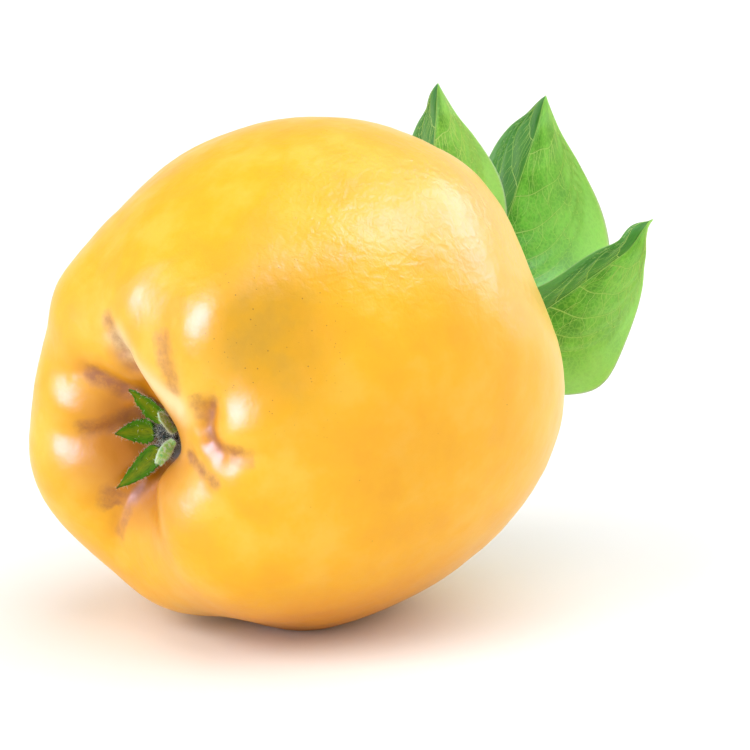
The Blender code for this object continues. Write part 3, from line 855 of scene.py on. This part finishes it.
    def core(self) -> Matrix:
        """The fruit's own frame, placed so that its skin fills the CAD fruit's box."""
        low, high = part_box("fruit")
        along, around = (g.ravel() for g in np.meshgrid(np.linspace(0, 1, 90), np.arange(-180, 180, 4.0)))
        tilted = placed(self.surface(along, around), Matrix.Rotation(math.radians(TILT), 4, "X"))
        middle = (tilted.min(0) + tilted.max(0)) / 2
        shift = Vector(((low.x + high.x) / 2 - middle[0], (low.y + high.y) / 2 - middle[1],
                        high.z - tilted[:, 2].max()))
        return Matrix.Translation(shift) @ Matrix.Rotation(math.radians(TILT), 4, "X")

    def patches(self, spots: Sequence[tuple], along: Array, around: Array) -> Array:
        """A mask that is near each spot's strength at its middle and fades over its half-widths."""
        mask = np.zeros(len(along))
        for angle, place, width, length, strength in spots:
            mask += strength * np.exp(-(turn(around, angle) / width)**2 - ((along - place) / length)**2)
        return np.clip(mask, 0, 1)

    def build(self, core: Matrix) -> Object:
        """Builds the skin, with slight waviness and its flat spot level on the ground."""
        mesh, along, angle = ball("fruit", self.segments, self.rings)
        around = np.degrees(angle)
        places = self.surface(along, around)
        wave = sum(height * ripple(places, size, 2, seed) for height, size, seed in self.waves)
        wave = wave * smoothstep(along / self.calm_waves) * smoothstep((1 - along) / self.calm_waves)
        row = placed(places + unit(places) * wave[:, None], core)
        row[:, 2] = np.maximum(row[:, 2], 0)
        set_points(mesh, row)
        # painted shade deep in the basin, the pit, and painted light that makes the stem end paler
        deep_and_painted_shade, pit, stem_painted_light = (
            strength * smoothstep(way * (along - place) / fade)
            for way, (strength, place, fade) in ((-1, self.basin), (-1, self.pit), (1, self.stem_painted_light)))
        most, depth = self.crease_painted_shade
        # the basin's painted shade also darkens each crease by its depth
        set_values(mesh, crease=self.streaks(self.russets, along, around),
                   basin=np.maximum(deep_and_painted_shade, most * smoothstep(self.folds(along, around) / depth)), pit=pit,
                   bruise=self.patches(self.bruises, along, around),
                   crinkle=self.patches(self.crinkles, along, around),
                   amber=self.patches(self.ambers, along, around),
                   cream=self.streaks(self.creams, along, around), shade=stem_painted_light)
        piece = mesh_object("fruit", mesh, QuinceSkin().material())
        return finish_piece(piece, "fruit")


class Fold(Enum):
    """Which way a blade is folded along its midrib."""

    RIDGE = -1    # its halves bend away from the upper face
    VALLEY = 1    # its halves bend towards the upper face


@dataclass
class Blade:
    """A flat green organ with a midrib: a leaf or a sepal. Sizes are in millimetres and degrees."""

    name: str
    midrib: tuple                # control points from foot to tip
    face: Triple                 # the way that the upper face looks
    half_width: float
    fold: Fold
    folds: tuple                 # fold at the tip, the middle and the foot
    middle_fold: tuple = (0.25, 0.65)    # places between which the foot's fold passes into the middle's
    tip_fold: float = 0.35       # share of the length over which it passes on to the tip's
    widest: float = 0.4          # where it is widest, as a share of the blade
    petiole: float = 0.0         # share of the length that is stalk
    radius: float = 0.8          # of the stalk at its foot
    half_thickness: float = 0.17
    hook: Triple = (0, 0, 0)     # how far the tip is pulled off the midrib's line
    twist: float = 0.0           # how far the tip is turned over
    wave: float = 0.0            # height of the waves of the margin
    waves: float = 3.0           # number of waves on a side
    quilt: float = 0.0           # height of the blade between its side veins
    pairs: int = 5               # number of side veins on a side
    teeth: float = 0.0           # depth of the margin's teeth, as a share of the width
    teeth_count: int = 9
    stop: float = 1.0            # share of the outline that is left where the tip has withered away
    ragged: float = 0.0          # depth of the torn end, as a share of the length
    rim: float = 0.04            # share of the half-width that the margin's own colour takes
    taper: float = 0.22          # share of the width that the drawn-out tip loses
    drawn: float = 0.16          # share of the outline that is drawn out
    twisted: float = 0.08        # share of the length at the tip that is turned over
    hooked: float = 0.10         # share of the length at the tip that the hook pulls
    joint: float = 0.12          # share of the blade over which the stalk flattens into it
    rounding: float = 0.01       # share of the length at either end that is rounded
    ridge: float = 0.5           # how rounded the fold is along the midrib
    edge_curl: float = 0.0035    # how fast the edges bend back, per millimetre
    vein_end: float = 0.9        # how far a side vein runs towards the margin, as a share of the way
    stagger: float = 0.02        # how far a side vein stands off its partner, as a share of the blade
    segments: int = 128
    rings: int = 180

    def reach(self) -> float:
        """The distance from the foot to the tip, in millimetres."""
        return float(np.linalg.norm(np.subtract(self.midrib[-1], self.midrib[0])))

    def vein_reach(self, c: Array) -> Array:
        """How far a side vein has run towards the tip where it is a share c of the way to the margin."""
        c = np.abs(c)
        return 0.50 * c + 0.50 * c**2.6

    def vein_count(self, along: Array, across: Array) -> Array:
        """The number of side veins, with fractions, from the blade's foot to a place on it; 0.5 or more."""
        u = (along - self.petiole) / (1 - self.petiole)
        reach = self.vein_reach(across)
        foot = (u - reach) / np.maximum(1 - reach, 1e-6) + self.stagger * np.sign(across)
        return np.clip(foot * (self.pairs + 1), 0.5, self.pairs + 1)

    def mid_surface(self, along: Array, across: Array) -> tuple[Array, Array, Array]:
        """The blade's middle layer.

        Args:
            along: places from foot (0) to tip (1).
            across: places from one margin (-1) to the other (1).

        Returns:
            Points, the upper face's direction and the half-thickness there.
        """
        step = 1e-3
        p = bezier(self.midrib, along)
        ahead, behind = (bezier(self.midrib, np.clip(along + s, 0, 1)) for s in (step, -step))
        tangent = unit(ahead - behind)
        upper = np.asarray(self.face, float)
        upper = unit(upper - (tangent @ upper)[:, None] * tangent)
        side = np.cross(tangent, upper)
        over = np.radians(self.twist) * smoothstep((along - 1 + self.twisted) / self.twisted)[:, None]
        upper, side = (upper * np.cos(over) + side * np.sin(over),
                       side * np.cos(over) - upper * np.sin(over))
        u = np.clip((along - self.petiole) / (1 - self.petiole), 0, 1)
        outline = u * self.stop
        blade = (self.half_width * (outline / self.widest)**(self.widest / (1 - self.widest))
                 * (1 - outline) / (1 - self.widest))
        blade = blade * (1 - self.taper * smoothstep((outline - 1 + self.drawn) / self.drawn))
        saw = (u * self.teeth_count + 0.23 * np.sign(across)) % 1
        blade = blade * (1 - self.teeth * saw * smoothstep(u / 0.2) * np.abs(across)**2)
        cap = (np.sqrt(np.clip(along / self.rounding, 0, 1))
               * np.sqrt(np.clip((1 - along) / self.rounding, 0, 1)))
        stalk = self.radius * cap * (1 - 0.8 * smoothstep(u / 0.8))
        half_width = (blade**3 + stalk**3)**(1 / 3)
        a = across * half_width
        flat = smoothstep(u / self.joint)
        thick = self.half_thickness + (self.radius - self.half_thickness) * (1 - flat)
        tip, middle, foot = (self.fold.value * f for f in self.folds)
        low, high = self.middle_fold
        angle = np.radians(tip + (middle - tip) * smoothstep((1 - along) / self.tip_fold)
                           + (foot - middle) * smoothstep((high - along) / (high - low)))
        from_rib = np.sqrt(a * a + self.ridge**2) - self.ridge
        rise = flat * (from_rib * np.sin(angle) - self.edge_curl * a * a)
        phase = np.where(across > 0, 0.4, 1.9)
        rise = rise + flat * self.wave * across**2 * np.sin(2 * np.pi * u * self.waves + phase)
        between = np.sin(np.pi * self.vein_count(along, across))**2
        rise = rise + flat * self.quilt * between * smoothstep(np.abs(across) / 0.15) * smoothstep(
            (1 - np.abs(across)) / 0.25) * smoothstep((1 - u) / 0.1)
        run = a * (1 - flat * (1 - np.cos(angle)))
        pull = smoothstep((along - 1 + self.hooked) / self.hooked) * along
        p = p + np.asarray(self.hook, float) * pull[:, None]
        if self.ragged:
            torn = self.ragged * (0.5 + 0.5 * np.sin(9.0 * across + 2.0 * np.sin(5.0 * across + 1.0)))
            lost = torn * smoothstep((along - 0.6) / 0.4) * self.reach()
            p = p - tangent * lost[:, None]
        return p + side * run[:, None] + upper * rise[:, None], upper, thick * cap

    def surface(self, along: Array, across: Array, face: Array | float, sink: Array | float = 0.0) -> Array:
        """Points on the blade's skin.

        Args:
            along: places from foot (0) to tip (1).
            across: places from one margin (-1) to the other (1).
            face: 1 for the upper face and -1 for the lower.
            sink: how far below the skin the points lie, in millimetres.

        Returns:
            One row of x, y, z for each place, in the blade's own frame.
        """
        p, upper, thick = self.mid_surface(along, across)
        u = (along - self.petiole) / (1 - self.petiole)
        power = 2 + 4 * smoothstep(u / self.joint)
        height = face * (thick * np.sqrt(np.clip(1 - np.abs(across)**power, 0, 1)) - sink)
        return p + upper * height[:, None]

    def build_mesh(self, frame_of: Matrix) -> Mesh:
        """Builds the closed blade with its UV map in metres and the masks that its finish reads."""
        mesh, along, angle = ball(self.name, self.segments, self.rings)
        across = 1 - 2 * np.abs(angle) / np.pi
        face = np.where(angle > 1e-6, 1.0, -1.0)
        set_points(mesh, placed(self.surface(along, across, face), frame_of))
        length = self.reach() * 1.1      # with the midrib's bends
        set_uv(mesh, np.stack([along * length * MM, across * self.half_width * MM], 1))
        from_vein = np.abs((self.vein_count(along, across) + 0.5) % 1 - 0.5)
        # the side mask runs across the blade from -1 to 1; by it the leaf finish paints one half darker as
        # shade and the other lighter as sheen
        set_values(mesh, lower=smoothstep((0.2 - face * np.sqrt(np.clip(1 - across**2, 0, 1))) / 0.4),
                   margin=smoothstep((np.abs(across) - 1 + self.rim) / self.rim), along=along,
                   midline=np.abs(across), side=across, vein=1 - smoothstep(from_vein / 0.16))
        return mesh

    def line(self, along: Array, across: Array, weight: Array, face: float, sink: float,
             frame_of: Matrix) -> tuple[Array, Array]:
        """A vein's points in the row frame, just under the skin, with their weights."""
        return placed(self.surface(along, across, face, sink * weight), frame_of), weight

    def veins(self, face: float, sink: float, frame_of: Matrix, cross_veins: int, seed: int) -> list:
        """The midrib, side veins and cross veins of one face.

        Args:
            face: 1 for the upper face and -1 for the lower.
            sink: how far below the skin their middles lie, in millimetres.
            frame_of: the blade's own frame.
            cross_veins: the number of cross veins from one side vein to the next.
            seed: picks one network.

        Returns:
            A list of lines for Sweep.grow.
        """
        pick = np.random.default_rng(seed)
        t = np.linspace(0, 1, 90)
        start = self.petiole
        lines = [self.line(start + 0.02 + (0.97 - start) * t, 0 * t, 1 - 0.8 * t, face, sink, frame_of)]
        t = np.linspace(0, 1, 36)
        last = len(t) - 1
        routes = {}
        for half in (1, -1):
            for i in range(self.pairs):
                foot = (i + 1) / (self.pairs + 1) - self.stagger * half
                reach = self.vein_reach(t * self.vein_end)
                u = foot + (1 - foot) * reach + 0.004 * np.sin(t * 17 + i * 2.3 + half)
                routes[half, i] = (start + (1 - start) * np.clip(u, 0, 0.985), half * t * self.vein_end)
                weight = (0.70 - 0.38 * t) * (1 - 0.3 * foot)
                lines.append(self.line(*routes[half, i], weight, face, sink, frame_of))
            for i in range(self.pairs - 1):
                for j in range(cross_veins):
                    c0 = (j + pick.uniform(0.1, 0.9)) / cross_veins
                    c1 = min(1.0, c0 + pick.uniform(-0.02, 0.16))
                    k0, k1 = int(c0 * last), int(c1 * last)
                    (s1, a1), (s0, a0) = routes[half, i + 1], routes[half, i]
                    r = np.linspace(0, 1 if pick.random() < 0.6 else pick.uniform(0.4, 0.9), 9)
                    s = s1[k0] + (s0[k1] - s1[k0]) * r + 0.004 * np.sin(r * 9 + j)
                    a = a1[k0] + (a0[k1] - a1[k0]) * r + half * 0.02 * np.sin(r * 7 + i + 2 * j)
                    weight = (0.36 - 0.12 * r) * (0.8 + 0.2 * half)
                    lines.append(self.line(s, a, weight, face, sink, frame_of))
        return lines


@dataclass
class Foliage:
    """The three leaves, with their veins. Places are in the fruit's own frame."""

    leaves: tuple = (
        Blade("leaf_1", ((-8.2, 53.0, -6.4), (-14.4, 56.5, -7.7), (-17.7, 57.8, 17.2), (-13.0, 60.9, 40.1)),
              (0.21, -0.91, 0.35), 14.8, Fold.RIDGE, (30, 32, 14), widest=0.50, petiole=0.20, radius=0.95,
              hook=(-0.1, -0.3, 1.3), twist=35, wave=0.35, waves=2.5, quilt=0.30),
        Blade("leaf_2", ((-8.1, 57.2, -8.9), (-16.7, 69.8, -11.2), (-16.7, 82.7, 7.8), (-4.9, 85.1, 33.5)),
              (0.22, -0.85, 0.49), 25.0, Fold.RIDGE, (22, 34, 20), widest=0.38, petiole=0.15, radius=0.95,
              hook=(-0.3, -0.3, 0.6), twist=15, wave=0.5, waves=2.5, quilt=0.45),
        Blade("leaf_3", ((-5.3, 58.6, -12.0), (-2.6, 59.2, -13.2), (8.7, 70.4, -3.2), (24.2, 77.6, 8.3)),
              (0.83, -0.44, -0.31), 21.0, Fold.VALLEY, (16, 38, 20), widest=0.38, petiole=0.12, radius=0.95,
              hook=(0.6, 1.3, 3.3), twist=-110, wave=0.4, waves=2.5, quilt=0.40))
    # veins of each face: name, face, radius of the midrib, share of it that is sunk, cross veins, sides
    veins: tuple = (("above", 1, 0.15, 0.2, 13, 5), ("below", -1, 0.42, 0.5, 3, 6))

    def build(self, core: Matrix) -> None:
        """Builds each blade and the veins of both its faces."""
        blade_finish = LeafGreen().material()
        sweep = Sweep("leaf_veins", LeafVein().material())
        for seed, leaf in enumerate(self.leaves):
            finish_piece(mesh_object(leaf.name, leaf.build_mesh(core), blade_finish), leaf.name)
            for side, face, radius, sunk, cross_veins, sides in self.veins:
                lines = leaf.veins(face, radius * sunk, core, cross_veins, seed)
                ribs = sweep.grow(f"{leaf.name}_veins_{side}", lines, radius, sides)
                finish_piece(ribs, leaf.name)


@dataclass
class Calyx:
    """Sepals, cup, withered stamens and wool, in a frame with x as the fruit's x, y as its z, z outwards."""

    pit: Triple = (-1.24, -31.2, -1.95)      # in the fruit's own frame
    sepals: tuple = (
        Blade("sepal_1", ((0.2, 2.7, 2.4), (-0.6, 5.1, 3.6), (-1.7, 7.7, 5.0), (-3.0, 9.5, 6.5)),
              (0.35, -0.55, 0.75), 2.5, Fold.VALLEY, (8, 8, 8), widest=0.32, wave=0.15, teeth=0.16),
        Blade("sepal_2", ((-2.4, 0.5, 2.4), (-4.2, 0.6, 3.1), (-6.4, 0.6, 4.8), (-8.2, 0.5, 7.0)),
              (0.55, 0.0, 0.80), 2.6, Fold.VALLEY, (8, 8, 8), widest=0.32, wave=0.12, teeth=0.16),
        Blade("sepal_3", ((-1.7, -2.5, 2.5), (-3.0, -4.8, 3.8), (-5.1, -7.1, 6.2), (-7.0, -8.9, 9.4)),
              (0.45, 0.45, 0.75), 2.2, Fold.VALLEY, (8, 8, 8), widest=0.32, wave=0.12, teeth=0.12),
        Blade("sepal_4", ((2.7, 1.4, 2.5), (3.2, 2.8, 3.4), (3.8, 4.4, 4.8), (4.1, 5.6, 6.6)),
              (-0.70, -0.30, 0.40), 1.7, Fold.VALLEY, (8, 8, 8), widest=0.40, stop=0.85, ragged=0.05),
        Blade("sepal_5", ((2.5, -0.7, 2.9), (3.0, -1.1, 4.5), (3.3, -1.9, 6.1), (3.3, -3.4, 7.6)),
              (-0.75, -0.20, -0.50), 1.25, Fold.VALLEY, (8, 8, 8), widest=0.40, stop=0.78, ragged=0.16))
    pale: tuple = ("sepal_4", "sepal_5")
    steps: tuple = (64, 72)
    dry_rim: float = 0.16        # share of a sepal's half-width that can dry out
    cup_radius: float = 2.0
    cup_height: float = 1.5
    cup_wall: float = 0.5
    cup_foot: float = 0.55
    tuft_radius: float = 1.1
    tuft_height: float = 2.04
    # wool and threads: hairs on a square centimetre, length, width at the root, bend and lean
    fringe: tuple = (1800, 0.75, 0.045, 0.5, 55)
    cup_wool: tuple = (900, 1.5, 0.05, 0.8, 70)
    threads: tuple = (260, 2.6, 0.16, 0.7, 45)
    tuft_wool: tuple = (700, 1.6, 0.045, 0.9, 70)
    mealy: float = 0.2           # strength of the wool over the whole of a pale sepal
    bare: float = 0.02           # and of a green one
    fringe_from: float = 0.84    # where the fringe starts, from the midline (0) to the margin (1)
    fringe_fade: float = 0.14

    def frame_of(self, core: Matrix) -> Matrix:
        """The calyx's own frame in the row frame."""
        return core @ Matrix.Translation(Vector(self.pit) * MM) @ Matrix.Rotation(math.radians(90), 4, "X")

    def turned(self, name: str, outline: Sequence[tuple], wrinkle: float, frame_of: Matrix,
               finish: Material) -> Object:
        """Builds a wrinkled solid of revolution from radii and heights that run from the axis to the axis."""
        mesh, along, angle = ball(name, 48, 40)
        p = np.asarray(outline, float)
        length = np.r_[0, np.cumsum(np.hypot(*np.diff(p, axis=0).T))]
        radius, height = (np.interp(along * length[-1], length, p[:, i]) for i in (0, 1))
        places = np.stack([radius * np.cos(angle), radius * np.sin(angle), height], 1)
        uneven = wrinkle * ripple(places, 1.2, 2, 5.0)
        places[:, :2] *= (1 + uneven / self.cup_radius)[:, None]
        places[:, 2] += uneven * (radius > 0.2)
        set_points(mesh, placed(places, frame_of))
        set_values(mesh, wool=np.ones(len(places)))
        return mesh_object(name, mesh, finish)

    def build(self, core: Matrix) -> None:
        """Builds the calyx and scatters its wool."""
        frame_of = self.frame_of(core)
        green, pale = SepalTissue().material(), PaleSepal().material()
        withered = WitheredTissue().material()
        wool = Hairs("calyx_wool", Wool().material())
        stamens = Hairs("stamens", withered)
        for seed, sepal in enumerate(self.sepals):
            sepal.segments, sepal.rings = self.steps
            sepal.rim = self.dry_rim
            mesh = sepal.build_mesh(frame_of)
            mid = np.array([v.value for v in mesh.attributes["midline"].data])
            pale_one = sepal.name in self.pale
            least = self.mealy if pale_one else self.bare
            set_values(mesh, wool=smoothstep((mid - self.fringe_from) / self.fringe_fade) + least)
            finish_piece(mesh_object(sepal.name, mesh, pale if pale_one else green), sepal.name)
            hairs = wool.grow(sepal.name + "_wool", mesh, *self.fringe, seed=seed)
            finish_piece(hairs, sepal.name)
        top = self.cup_foot + self.cup_height
        inner = self.cup_radius - self.cup_wall
        floor = self.cup_foot + self.cup_wall
        cup = [(0, floor), (inner - 0.2, floor), (inner, floor + 0.2), (inner, top), (self.cup_radius, top),
               (self.cup_radius, self.cup_foot + 0.4), (self.cup_radius - 0.5, self.cup_foot),
               (0, self.cup_foot)]
        foot = floor + 0.3
        high = foot + self.tuft_height
        tuft = [(0, high), (self.tuft_radius * 0.6, high * 0.95), (self.tuft_radius, foot + 0.8),
                (self.tuft_radius * 0.7, foot), (0, foot)]
        for node, outline, wrinkle, growths in (
                ("calyx_cup", cup, 0.18, (("calyx_cup_wool", wool, self.cup_wool, 11),)),
                ("dried_stamens", tuft, 0.25, (("stamen_threads", stamens, self.threads, 5),
                                               ("stamen_wool", wool, self.tuft_wool, 6)))):
            solid = finish_piece(self.turned(node, outline, wrinkle, frame_of, withered), node)
            for name, hairs, sizes, seed in growths:
                finish_piece(hairs.grow(name, solid.data, *sizes, seed=seed), node)


@dataclass
class Shoot:
    """The woody shoot that bore the fruit and the leaves, cut off below them, in the fruit's own frame."""

    path: tuple = ((0, 43.4, 0), (-2.2, 47.6, -2.1), (-5.1, 51.2, -5.8), (-6.7, 54.2, -9.0),
                   (-7.8, 56.6, -12.6), (-8.5, 58.6, -17.5))
    radii: tuple = (2.2, 2.1, 2.3, 2.3, 2.3, 1.9)
    knots: tuple = (0.42, 0.60, 0.76)     # where its leaves stand, as shares of its length
    knot_height: float = 0.35
    knot_length: float = 0.03    # half-length of a knot, as a share of the shoot's length
    # share of the shoot's length, angle round it, radius and length
    buds: tuple = ((0.50, 200, 1.1, 2.6), (0.68, 40, 1.2, 3.0), (0.86, 300, 1.0, 2.4))
    cut_share: float = 0.06      # share of the rings that the cut face takes
    pith: float = 0.3            # of the cut face's radius
    roughness: float = 0.12      # height of the bark's unevenness
    down: tuple = (450, 0.7, 0.035, 0.6, 65)     # hairs on a square centimetre, length, width, bend, lean
    steps: tuple = (72, 140)

    def middle(self, t: Array) -> Array:
        """Points of a smooth line through the path."""
        p = np.asarray(self.path, float)
        q = np.vstack([2 * p[0] - p[1], p, 2 * p[-1] - p[-2]])
        k = np.clip(t, 0, 1) * (len(p) - 1)
        i = np.clip(k.astype(int), 0, len(p) - 2)
        x = (k - i)[:, None]
        a, b, c, d = (q[i + j] for j in range(4))
        return 0.5 * (2 * b + (c - a) * x + (2 * a - 5 * b + 4 * c - d) * x**2
                      + (3 * b - a - 3 * c + d) * x**3)

    def radius_at(self, t: Array | float) -> Array:
        """The shoot's radius between its knots, at shares of its length."""
        return np.interp(t, np.linspace(0, 1, len(self.radii)), self.radii)

    def section(self, t: Array) -> tuple[Array, Array, Array]:
        """The shoot's middle line and two directions across it, at shares of its length."""
        tangent = unit(self.middle(t + 1e-3) - self.middle(t - 1e-3))
        side = unit(np.cross(tangent, np.array([1.0, 0.0, 0.0])))
        return self.middle(t), side, np.cross(tangent, side)

    def build(self, core: Matrix) -> None:
        """Builds the bark and the cut end, then the buds and the wool."""
        bark = ShootBark().material()
        mesh, along, angle = ball("twig", *self.steps)
        t = np.clip((along - self.cut_share) / (1 - 2 * self.cut_share), 0, 1)
        face = np.clip(np.minimum(along, 1 - along) / self.cut_share, 0, 1)
        middle, side, over = self.section(t)
        radius = self.radius_at(t)
        for knot in self.knots:
            radius = radius + self.knot_height * np.exp(-((t - knot) / self.knot_length)**2)
        out = side * np.cos(angle)[:, None] + over * np.sin(angle)[:, None]
        radius = (radius + self.roughness * ripple(middle + out * 2, 1.6, 3, 2.0) * (face > 0.99)) * face
        set_points(mesh, placed(middle + out * radius[:, None], core))
        cut = (face < 0.93).astype(float)
        set_values(mesh, cut=cut, pith=(face < self.pith).astype(float), wool=1 - cut)
        twig = finish_piece(mesh_object("twig", mesh, bark), "twig")
        for i, (share, turned, width, length) in enumerate(self.buds):
            self.bud(f"bud_{i + 1}", share, turned, width, length, core, bark)
        down = Hairs("shoot_wool", Wool("shoot_down", "#C9C3AE").material())
        finish_piece(down.grow("twig_wool", twig.data, *self.down, seed=21), "twig")

    def bud(self, name: str, share: float, turned: float, width: float, length: float, core: Matrix,
            bark: Material) -> None:
        """Builds a small pointed bud that lies close to the shoot.

        Args:
            name: its name.
            share: where it stands along the shoot.
            turned: its angle round the shoot, in degrees.
            width: its radius, in millimetres.
            length: its length, in millimetres.
            core: the fruit's own frame.
            bark: its finish.
        """
        mesh, along, angle = ball(name, 24, 20)
        middle, side, over = (v[0] for v in self.section(np.array([share])))
        out = side * math.cos(math.radians(turned)) + over * math.sin(math.radians(turned))
        tip = unit(self.middle(np.array([share - 0.05]))[0] - middle + out * 1.2)
        foot = middle + out * self.radius_at(share) * 0.75
        across = unit(np.cross(tip, out))
        thick = np.cross(tip, across)
        girth = width * np.sin(np.pi * along)**0.8 * (1 - 0.55 * along)
        scales = 1 + 0.08 * np.sin(along * 22 + np.cos(angle) * 1.5)
        places = (foot + tip * (along * length)[:, None]
                  + (across * np.cos(angle)[:, None] + thick * np.sin(angle)[:, None] * 0.75)
                  * (girth * scales)[:, None])
        set_points(mesh, placed(places, core))
        whole = np.zeros(len(places))
        set_values(mesh, cut=whole, pith=whole)
        finish_piece(mesh_object(name, mesh, bark), "twig")


class LampKind(Enum):
    """The studio's kinds of lamp."""

    SOFT_BOX = "AREA"     # a round box near the fruit; its size is in millimetres, its power in watts
    FAR_PANEL = "SUN"     # a panel far away, which lights the floor evenly; its size is in degrees


@dataclass(frozen=True)
class Lamp:
    """A lamp, with its direction from the fruit in right, up and towards the camera."""

    name: str
    kind: LampKind
    way: Triple
    size: float
    power: float
    colour: str = "#FFFFFF"
    fills: bool = True           # whether it lights the surfaces as well as glinting on them
    distance: float = 600.0      # of a soft box, in millimetres


@dataclass
class Studio:
    """Floor, white surroundings, lamps and camera. Sizes are in millimetres and degrees."""

    azimuth: float = 43.0
    elevation: float = 11.0
    lens: float = 110.0
    sensor: float = 36.0
    field: float = 140.1         # across the picture at the fruit's middle
    offset: tuple = (14.0, -0.75)    # how far the view's middle lies right of and above the fruit's middle
    floor_size: float = 20000.0
    surroundings: tuple = ((0.15, 1.0), (0.45, 0.46))   # height of a direction and the brightness there
    lamps: tuple = (Lamp("key", LampKind.FAR_PANEL, (-0.70, 0.50, 0.55), 40, 1.6, "#FFF8EE"),
                    Lamp("top", LampKind.FAR_PANEL, (0.40, 0.88, 0.24), 80, 2.0),
                    Lamp("window", LampKind.SOFT_BOX, (-0.75, 0.25, 0.6), 450, 14.5, "#A6B4F2", False),
                    Lamp("sky", LampKind.SOFT_BOX, (0.36, 0.78, 0.42), 280, 3.6, "#A6B4F2", False),
                    Lamp("rim", LampKind.SOFT_BOX, (0.74, 0.60, -0.16), 440, 4.8, "#A6B4F2", False))

    def light(self, lamp: Lamp, middle: Vector, axes: Sequence[Vector]) -> None:
        """Builds one lamp, aimed at the fruit's middle."""
        data = bpy.data.lights.new(lamp.name, lamp.kind.value)
        if lamp.kind is LampKind.SOFT_BOX:
            data.shape = "DISK"
            data.size = lamp.size * MM
        else:
            data.angle = math.radians(lamp.size)
        data.energy = lamp.power
        data.color = linear(lamp.colour)[:3]
        stand = bpy.data.objects.new(lamp.name, data)
        way = sum((axis * share for axis, share in zip(axes, lamp.way)), Vector()).normalized()
        stand.location = middle + way * lamp.distance * MM
        stand.rotation_mode = "QUATERNION"
        stand.rotation_quaternion = (-way).to_track_quat("-Z", "Y")
        stand.visible_diffuse = lamp.fills
        bpy.context.scene.collection.objects.link(stand)

    def build(self, core: Matrix) -> None:
        """Builds the whole studio round the fruit's middle."""
        scene = bpy.context.scene
        scene.view_settings.view_transform = "Standard"
        scene.world = bpy.data.worlds.new("white_surroundings")
        scene.world.use_nodes = True
        tree = scene.world.node_tree
        way = add_node(tree, "ShaderNodeTexCoord", output="Generated")
        height = add_node(tree, "ShaderNodeSeparateXYZ", {"Vector": way}, output="Z")
        (low, bright), (high, dim) = self.surroundings
        strength = add_node(tree, "ShaderNodeMapRange", {"Value": height, 1: low, 2: high, 3: bright,
                                                         4: dim})
        tree.nodes["Background"].inputs["Color"].default_value = (1, 1, 1, 1)
        tree.links.new(strength, tree.nodes["Background"].inputs["Strength"])
        half = self.floor_size * MM / 2
        mesh = bpy.data.meshes.new("floor")
        mesh.from_pydata([(-half, -half, 0), (half, -half, 0), (half, half, 0), (-half, half, 0)], [],
                         [(0, 1, 2, 3)])
        mesh_object("floor", mesh, WhiteSweep().material())
        azimuth, elevation = math.radians(self.azimuth), math.radians(self.elevation)
        back = Vector((math.sin(azimuth) * math.cos(elevation), -math.cos(azimuth) * math.cos(elevation),
                       math.sin(elevation)))
        facing = (-back).to_track_quat("-Z", "Y")
        right, up = facing @ Vector((1, 0, 0)), facing @ Vector((0, 1, 0))
        middle = core.to_translation()
        data = bpy.data.cameras.new("camera")
        data.lens, data.sensor_width, data.clip_start = self.lens, self.sensor, 0.01
        camera = bpy.data.objects.new("camera", data)
        camera.location = middle + MM * (back * self.field * self.lens / self.sensor + right * self.offset[0]
                                         + up * self.offset[1])
        camera.rotation_mode = "QUATERNION"
        camera.rotation_quaternion = facing
        scene.collection.objects.link(camera)
        scene.camera = camera
        for lamp in self.lamps:
            self.light(lamp, middle, (right, up, back))


def main() -> None:
    """Builds the quince piece by piece, then its studio."""
    logging.basicConfig(level=logging.INFO, format="%(name)s: %(message)s")
    fruit = Fruit()
    core = fruit.core()
    LOG.info("fruit's middle at %s", [round(x / MM, 2) for x in core.to_translation()])
    fruit.build(core)
    Calyx().build(core)
    Shoot().build(core)
    Foliage().build(core)
    Studio().build(core)


if __name__ == "__main__":
    main()
